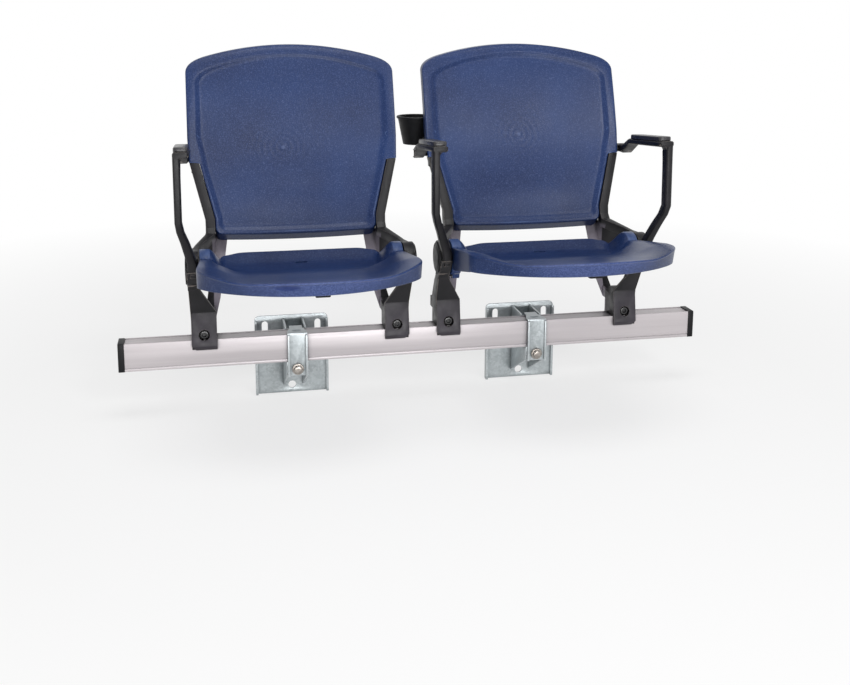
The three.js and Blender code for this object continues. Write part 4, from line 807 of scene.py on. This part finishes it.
def pan_top(x, y):
    near = smooth(y, HUB_Y - 2 * EAR_RADIUS, HUB_Y - EAR_RADIUS)
    start = lerp(PAN_DISH_HALF, PAN_REAR_HALF - PAN_EASE, near)
    end = lerp(PAN_DISH_EDGE, PAN_HINGE_HALF - EAR_RIM_WIDTH + EAR_RIM_EASE, near)
    side = max(pan_rim(x, y), ear_top(y)) if y < HUB_Y else ear_top(y)
    dip = PAN_REAR_DIP * bell(abs(x), PAN_REAR_DIP_X, PAN_REAR_DIP_SPAN) - PAN_REAR_LIFT
    floor = pan_floor(y) - dip * smooth(y, HUB_Y, PAN_REAR_Y)
    return floor + (side - floor) * smooth(abs(x), start, end)


def pan_face_bottom(x, y):
    deep = PAN_SIDE_DEEP * max(0.0, min(y, HUB_Y - EAR_RADIUS) - PAN_SIDE_DEEP_Y)
    deep *= smooth(abs(x), PAN_DISH_EDGE - 20.0, PAN_DISH_EDGE)
    return PAN_FRONT_Z - PAN_FACE - PAN_FALL * (y - PAN_FRONT_Y) - deep


def pan_outline(front, side, rear):
    """Round the pan seen from above, from the middle of its front: x, y."""
    half = PAN_TIP_HALF - side
    radius = PAN_FRONT_RADIUS
    turn = math.asin((half - PAN_TIP_CORNER) / radius)
    right = polar(0, PAN_FRONT_Y + front + radius, radius, -90, math.degrees(turn) - 90, 50)
    end_x, end_y = right[-1]
    tip = (half, PAN_TIP_Y)
    right += bezier((end_x, end_y), (half, end_y + (half - end_x) * math.tan(turn)), tip, 20)[1:-1]
    hinge = PAN_HINGE_HALF - side
    ear_rear = HUB_Y + EAR_RADIUS - rear
    stops = [
        tip, (hinge, HUB_Y - EAR_RADIUS), (hinge, ear_rear), (hinge - EAR_WIDTH, ear_rear),
        (PAN_REAR_HALF - side, PAN_REAR_Y - rear), (0.0, PAN_REAR_Y - rear),
    ]
    for a, b, steps in zip(stops, stops[1:], (14, 18, 6, 6, 24)):
        right += straight(a, b, steps)[:-1]
    right.append(stops[-1])
    return right + [(-x, y) for x, y in reversed(right[1:-1])]


def oval_sink(x, y, share):
    """How deep the oval is at a point of the front face."""
    if y > PAN_SIDE_DEEP_Y:
        return 0.0
    low, high = OVAL_SHARES
    across = (x - OVAL_X) / OVAL_HALF
    up = (share - (low + high) / 2) * 2 / (high - low)
    return OVAL_DEPTH * (1.0 - smooth(math.hypot(across, up), 0.5, 1.0))


def pan_skin(oval):
    """The skin of a pan: out under the dish, down and up its walls, and in over the dish."""
    rim = pan_outline(0, 0, 0)
    middle = PAN_MIDDLE
    rings = []

    def wall(inset, share):
        """A ring on the wall, part of the way from the rim to the foot."""
        outline = pan_outline(PAN_FACE_LEAN * share + inset, PAN_SIDE_LEAN * share + inset, inset)
        points = []
        for (x, y), (rx, ry) in zip(outline, rim):
            top = pan_top(rx, ry)
            foot = min(pan_face_bottom(rx, ry), top - PAN_SKIN)
            sunk = oval_sink(x, y, share) if oval and inset == 0 else 0.0
            points.append((x, y + sunk, lerp(top, foot, share)))
        rings.append(points)

    def floor(share, drop):
        points = []
        for x, y in rim:
            px, py = lerp(middle[0], x, share), lerp(middle[1], y, share)
            points.append((px, py, pan_top(px, py) - drop))
        rings.append(points)

    for share in spread(0.06, 0.95, 24):
        floor(share, PAN_SKIN)
    wall(PAN_SKIN, 0.25)
    wall(PAN_SKIN, 0.98)
    wall(PAN_SKIN - 1, 1.0)
    wall(1.2, 1.0)
    wall(0.4, 0.985)
    for share in spread(0.95, 0.2, 20):
        wall(0.0, share)
    for turn in spread(0, 90, 6):
        a = math.radians(turn)
        points = []
        for point in rim:
            x, y = toward(point, middle, PAN_EDGE_ROUND * (1 - math.cos(a)))
            points.append((x, y, pan_top(x, y) - PAN_EDGE_ROUND * (1 - math.sin(a))))
        rings.append(points)
    for share in spread(0.975, 0.03, 64):
        floor(share, 0.0)
    top = pan_top(*middle)
    return ring_skin(rings, (*middle, top - PAN_SKIN), (*middle, top))


def pan_drain():
    """The slot in the valley, cut right through."""
    outline = polar(DRAIN_HALF - DRAIN_DEPTH / 2, -DRAIN_DEPTH / 2, DRAIN_DEPTH / 2, -90, 90, 10)
    outline += [(-x, y) for x, y in reversed(outline)]
    rings = [[(x, y, z) for x, y in outline] for z in (PAN_FRONT_Z - 3 * PAN_FACE, PAN_FRONT_Z)]
    return swept(rings)


def pan_ribs():
    """Ribs under the skin, upright from front to rear and one across."""
    bars = []
    front = PAN_FRONT_Y + PAN_FACE_LEAN + 2 * PAN_SKIN
    for x in (-PAN_RIB_PITCH, 0.0, PAN_RIB_PITCH):
        rings = []
        start = front + PAN_RIB_SET if x else front
        for y in spread(start, PAN_REAR_Y - PAN_SKIN, 30):
            rings.append(rib_ring([x - PAN_RIB_WALL / 2, x + PAN_RIB_WALL / 2], [y, y]))
        bars.append(swept(rings))
    rings = []
    for x in spread(-PAN_DISH_HALF, PAN_DISH_HALF, 12):
        rings.append(rib_ring([x, x], [PAN_RIB_CROSS_Y, PAN_RIB_CROSS_Y + PAN_RIB_WALL]))
    bars.append(swept(rings))
    return bars


def rib_ring(xs, ys):
    tops = [(x, y, pan_top(x, y) - PAN_SKIN + 1.0) for x, y in zip(xs, ys)]
    feet = [(x, y, min(pan_face_bottom(x, y) + PAN_RIB_WALL, z - 2.0)) for x, y, z in tops]
    return [tops[0], tops[1], feet[1], feet[0]]


def ear_geometry():
    """The right ear: a drum with a pocket on its inner side, round a bored hub."""
    r, inner, outer = EAR_RADIUS, PAN_HINGE_HALF - EAR_WIDTH, PAN_HINGE_HALF
    floor, rim = inner + EAR_POCKET, outer - EAR_RIM_WIDTH
    profile = [
        (EAR_BORE, inner, 0), (EAR_HUB - 0.6, inner, 0), (EAR_HUB, inner + 0.6, 0), (EAR_HUB, floor, 0),
        (r - 5, floor, 0), (r - 5, rim + 0.6, 0), (r - 4.4, rim, 0), (r - 2, rim, 0),
        (r - 0.6, rim + 0.6, 0), (r, rim + 2, 0), (r, outer - 2, 0), (r - 0.6, outer - 0.6, 0),
        (r - 2, outer, 0), (EAR_BORE, outer, 0),
    ]
    return turned(profile, (0, HUB_Y, HUB_Z), "x", 96, looped=True)


# Stop lug under each ear
LUG_X = (178.0, 193.0)
LUG_REACH = 51.0
LUG_THICKNESS = 9.0
LUG_ANGLE = 19.0


def lug_geometry():
    """The stop under the right ear."""
    turn = math.radians(LUG_ANGLE)
    rings = []
    for x in (LUG_X[0], LUG_X[0] + 0.6, LUG_X[1] - 0.6, LUG_X[1]):
        drawn = 0.6 if x in LUG_X else 0.0
        half, reach = LUG_THICKNESS / 2 - drawn, LUG_REACH - drawn
        corners = [(EAR_RADIUS - 3, -half), (reach - 1, -half), (reach, 1 - half), (reach, half - 1),
                   (reach - 1, half), (EAR_RADIUS - 3, half)]
        rings.append([
            (x, HUB_Y + out * math.sin(turn) + side * math.cos(turn),
             HUB_Z - out * math.cos(turn) + side * math.sin(turn))
            for out, side in corners
        ])
    return swept(rings)


def pan_geometry(oval):
    sides = [ear_geometry(), lug_geometry()]
    ears = sides + [mirrored(piece) for piece in sides]
    return merged([carved(pan_skin(oval), [pan_drain()]), *pan_ribs(), *ears])


# Bumper under the front of each pan, further forward than in the CAD source and reaching lower
BUMPER_X = 10.0
BUMPER_Y = -306.0
BUMPER_HALF = (13.5, 6.5)
BUMPER_CORNER = 3.0
BUMPER_TOP = 183.0
BUMPER_FOOT = 162.3
BUMPER_ROUND = [(1.4, 0.0), (0.4, 0.4), (0.0, 1.4)]


def bumper_ring(inset, z):
    r = BUMPER_CORNER - inset
    wide, deep = BUMPER_HALF[0] - BUMPER_CORNER, BUMPER_HALF[1] - BUMPER_CORNER
    ring = []
    for quarter, (across, along) in enumerate(((1, 1), (-1, 1), (-1, -1), (1, -1))):
        turn = 90 * quarter
        ring += polar(BUMPER_X + across * wide, BUMPER_Y + along * deep, r, turn, turn + 90, 6)
    return [(x, y, z) for x, y in ring]


def bumper_geometry():
    rings = [bumper_ring(inset, BUMPER_FOOT + rise) for inset, rise in BUMPER_ROUND]
    return swept([*rings, bumper_ring(0.0, BUMPER_TOP)])


for name, shift in SEATS.items():
    place("shell_back_" + name, "seat_back_" + name, back_geometry(), shift, "seat_polymer", 32)
    place("shell_pan_" + name, "seat_pan_" + name, pan_geometry(name == "left"), shift, "seat_polymer", 32,
          PAN_TIPS[name])

# Round pieces as (radius, along, hexagon share) outlines
FOOT_X = 198.5
FOOT_BOLT_Z = 10.0
FOOT_BOLT = [
    (4.2, 4.7, 1), (4.6, 4.4, 1), (4.6, 0.4, 1), (5.1, -0.3, 0.7), (7.2, -0.3, 0), (7.8, 0.0, 0),
    (8.0, 0.7, 0), (8.0, 8.7, 0), (5.0, 8.7, 0), (5.0, 59.2, 0), (4.5, 59.7, 0),
]
HUB_CAP = [
    (31.6, 226.3, 0), (32.0, 226.7, 0), (32.0, 229.5, 0), (31.7, 230.3, 0), (30.9, 230.8, 0),
    (27.6, 231.0, 0), (26.9, 230.4, 0), (26.2, 230.4, 0), (25.4, 231.1, 0), (16.0, 231.6, 0),
    (6.0, 231.8, 0),
]
STRAP_BOLT_Z = -73.0
STRAP_BOLT = [
    (3.0, -15.1, 0), (6.4, -14.9, 0), (8.4, -14.2, 0.3), (9.5, -13.2, 0.8), (10.0, -12.0, 1), (10.0, -7.4, 1),
    (10.6, -7.1, 0), (11.6, -7.1, 0), (12.0, -6.7, 0), (12.0, -5.0, 0), (11.6, -4.6, 0), (6.0, -4.6, 0),
    (6.0, 16.3, 0), (5.2, 17.1, 0),
]
CUP_AXIS = (28.75, 212.0)
CUP = [
    (4.0, 363.5, 0), (26.5, 363.5, 0), (28.0, 364.0, 0), (28.6, 365.5, 0), (39.6, 420.5, 0), (40.0, 422.0, 0),
    (42.2, 422.0, 0), (42.8, 422.6, 0), (43.0, 424.4, 0), (42.6, 426.2, 0), (41.4, 427.0, 0),
    (38.4, 427.0, 0), (37.3, 426.4, 0), (36.8, 424.5, 0), (25.9, 368.5, 0), (24.5, 366.5, 0), (4.0, 366.5, 0),
]

for number, (seat, side) in STANDARDS.items():
    bolt = turned(FOOT_BOLT, (side * FOOT_X, 0, FOOT_BOLT_Z), "y")
    place(f"round_bolt_{number}", f"foot_bolt_{number}", bolt, SEATS[seat], "bolt_black")
    cap = turned(HUB_CAP, (0, HUB_Y, HUB_Z), "x")
    cap = cap if side > 0 else mirrored(cap)
    place(f"round_cap_{number}", f"hub_cap_{number}", cap, SEATS[seat], "moulded_black")

for name, shift in SEATS.items():
    place("block_bumper_" + name, "pan_bumper_" + name, bumper_geometry(), shift, "rubber_black",
          tip=PAN_TIPS[name])
for name, shift in BRACKETS.items():
    bolt = turned(STRAP_BOLT, (0, 0, STRAP_BOLT_Z), "y")
    place("round_strap_bolt_" + name, "strap_bolt_" + name, bolt, shift, "bolt_steel")
cup = turned(CUP, (*CUP_AXIS, 0), "z", 128, looped=True)
place("round_cup", "cup_holder", cup, 0.0, "moulded_black")

# Carried over, with rounded edges or as it is
ROUNDED = {
    "standard": ("cast_black", 0.9), "foot_clamp": ("cast_black", 0.8), "armrest": ("cast_black", 1.0),
    "arm_pad": ("pad_black", 0.6), "beam_strap": ("zinc_plate", 0.7), "riser_arm": ("zinc_plate", 0.5),
    "wall_plate": ("zinc_plate", 0.6), "end_cap": ("moulded_black", 0.6),
    "cup_arm": ("moulded_black", 0.8), "beam": ("beam_aluminium", 0.5), "stop_buffer": ("rubber_black", 0.5),
}
KEPT = {
    "hinge_pin": "bolt_steel", "hinge_bush": "bush_polymer", "back_screw": "bolt_steel",
    "strap_nut": "bolt_steel",
}
for node in sorted(nodes):
    kind = node if node in ROUNDED else node.rsplit("_", 1)[0]
    if kind in ROUNDED:
        softened(node, *ROUNDED[kind])
    elif kind in KEPT:
        nodes[node].data.materials.clear()
        nodes[node].data.materials.append(LOOKS[KEPT[kind]])


# Stage
FLOOR_Z = -0.0895
FLOOR_HALF = 12.0
FLOOR_MIDDLE = (0.265, -0.1)
SHADOW_NEAR = 0.9
SHADOW_FAR = 2.2
SHADOW_SHARE = 0.3
FLOOR_COLOUR = (0.86, 0.86, 0.86, 1.0)
WORLD_LIGHT = 0.36


def white_seen(tree):
    """One for the rays that see the background: from the camera, mirrored or let through."""
    path = tree.nodes.new("ShaderNodeLightPath")
    either = path.outputs["Is Camera Ray"]
    for name in ("Is Glossy Ray", "Is Transmission Ray"):
        most = tree.nodes.new("ShaderNodeMath")
        most.operation = "MAXIMUM"
        tree.links.new(either, most.inputs[0])
        tree.links.new(path.outputs[name], most.inputs[1])
        either = most.outputs[0]
    return either


def make_floor():
    """A pale floor, seen white away from the object, that keeps the object's shadow near it."""
    size = FLOOR_HALF
    corners = [(-size, -size, FLOOR_Z), (size, -size, FLOOR_Z), (size, size, FLOOR_Z), (-size, size, FLOOR_Z)]
    mesh = bpy.data.meshes.new("floor")
    mesh.from_pydata(corners, [], [(0, 1, 2, 3)])
    floor = bpy.data.objects.new("floor", mesh)
    bpy.context.scene.collection.objects.link(floor)
    s = Shader("floor")
    s.set(Roughness=0.9, Base_Color=FLOOR_COLOUR, Specular_IOR_Level=0.0)
    away = s.node("ShaderNodeVectorMath", {0: s.place, 1: (*FLOOR_MIDDLE, FLOOR_Z)}, operation="DISTANCE")
    near = s.remap(away.outputs["Value"], SHADOW_NEAR, SHADOW_FAR, SHADOW_SHARE, 0.0)
    share = s.maths("MULTIPLY", white_seen(s.tree), s.maths("SUBTRACT", 1.0, near))
    glow = s.node("ShaderNodeEmission", {"Color": (1, 1, 1, 1), "Strength": 1.0}).outputs[0]
    mix = s.node("ShaderNodeMixShader", {0: share, 1: s.main.outputs[0], 2: glow}).outputs[0]
    s.tree.links.new(mix, s.tree.nodes["Material Output"].inputs["Surface"])
    floor.data.materials.append(s.material)


def make_world():
    """White where it is seen, and a weaker white where it only lights the object."""
    world = bpy.data.worlds.new("world")
    bpy.context.scene.world = world
    world.use_nodes = True
    tree = world.node_tree
    tree.nodes.clear()
    shades = []
    for strength in (WORLD_LIGHT, 1.0):
        shade = tree.nodes.new("ShaderNodeBackground")
        shade.inputs["Color"].default_value = (1, 1, 1, 1)
        shade.inputs["Strength"].default_value = strength
        shades.append(shade)
    mix = tree.nodes.new("ShaderNodeMixShader")
    tree.links.new(white_seen(tree), mix.inputs["Fac"])
    tree.links.new(shades[0].outputs[0], mix.inputs[1])
    tree.links.new(shades[1].outputs[0], mix.inputs[2])
    out = tree.nodes.new("ShaderNodeOutputWorld")
    tree.links.new(mix.outputs[0], out.inputs["Surface"])


# Lamps: where each stands in metres, how large it is and its power in watts
AIM = Vector((0.26, -0.1, 0.3))
LAMPS = {
    "key": ((1.0, -3.1, 2.05), (0.7, 0.5), 30),
    "front": ((0.1, -2.5, 0.12), (2.2, 0.5), 34),
    "top": ((0.3, -0.9, 2.8), (1.8, 1.0), 32),
}


def make_lamps():
    for name, (spot, size, power) in LAMPS.items():
        data = bpy.data.lights.new(name, "AREA")
        data.shape = "RECTANGLE"
        data.size, data.size_y = size
        data.energy = power
        lamp = bpy.data.objects.new(name, data)
        bpy.context.scene.collection.objects.link(lamp)
        lamp.location = spot
        lamp.rotation_euler = (AIM - Vector(spot)).to_track_quat("-Z", "Y").to_euler()


# Camera, fitted to the photograph: focal length and middle of the image in its pixels, angles in degrees
FOCAL = 1057.4
IMAGE_SIZE = (850, 685)
IMAGE_MIDDLE = (425.0, 195.0)
YAW, PITCH, ROLL = 11.8787, 10.0114, 0.2314
CAMERA_SPOT = (-172.24, -2229.31, 742.67)


def make_camera():
    yaw, pitch, roll = (math.radians(a) for a in (YAW, PITCH, ROLL))
    forward = Vector((math.sin(yaw) * math.cos(pitch), math.cos(yaw) * math.cos(pitch), -math.sin(pitch)))
    right = Vector((math.cos(yaw), -math.sin(yaw), 0))
    up = right.cross(forward)
    right, up = (math.cos(roll) * right + math.sin(roll) * up,
                 math.cos(roll) * up - math.sin(roll) * right)
    data = bpy.data.cameras.new("camera")
    data.sensor_fit = "HORIZONTAL"
    data.sensor_width = 36.0
    width, height = IMAGE_SIZE
    data.lens = FOCAL / width * data.sensor_width
    data.shift_x = (width / 2 - IMAGE_MIDDLE[0]) / width
    data.shift_y = (IMAGE_MIDDLE[1] - height / 2) / width
    camera = bpy.data.objects.new("camera", data)
    bpy.context.scene.collection.objects.link(camera)
    turn = Matrix((right, up, -forward)).transposed().to_4x4()
    camera.matrix_world = Matrix.Translation(Vector(CAMERA_SPOT) * MM) @ turn
    bpy.context.scene.camera = camera


make_floor()
make_world()
make_lamps()
make_camera()
bpy.context.scene.view_settings.view_transform = "Standard"
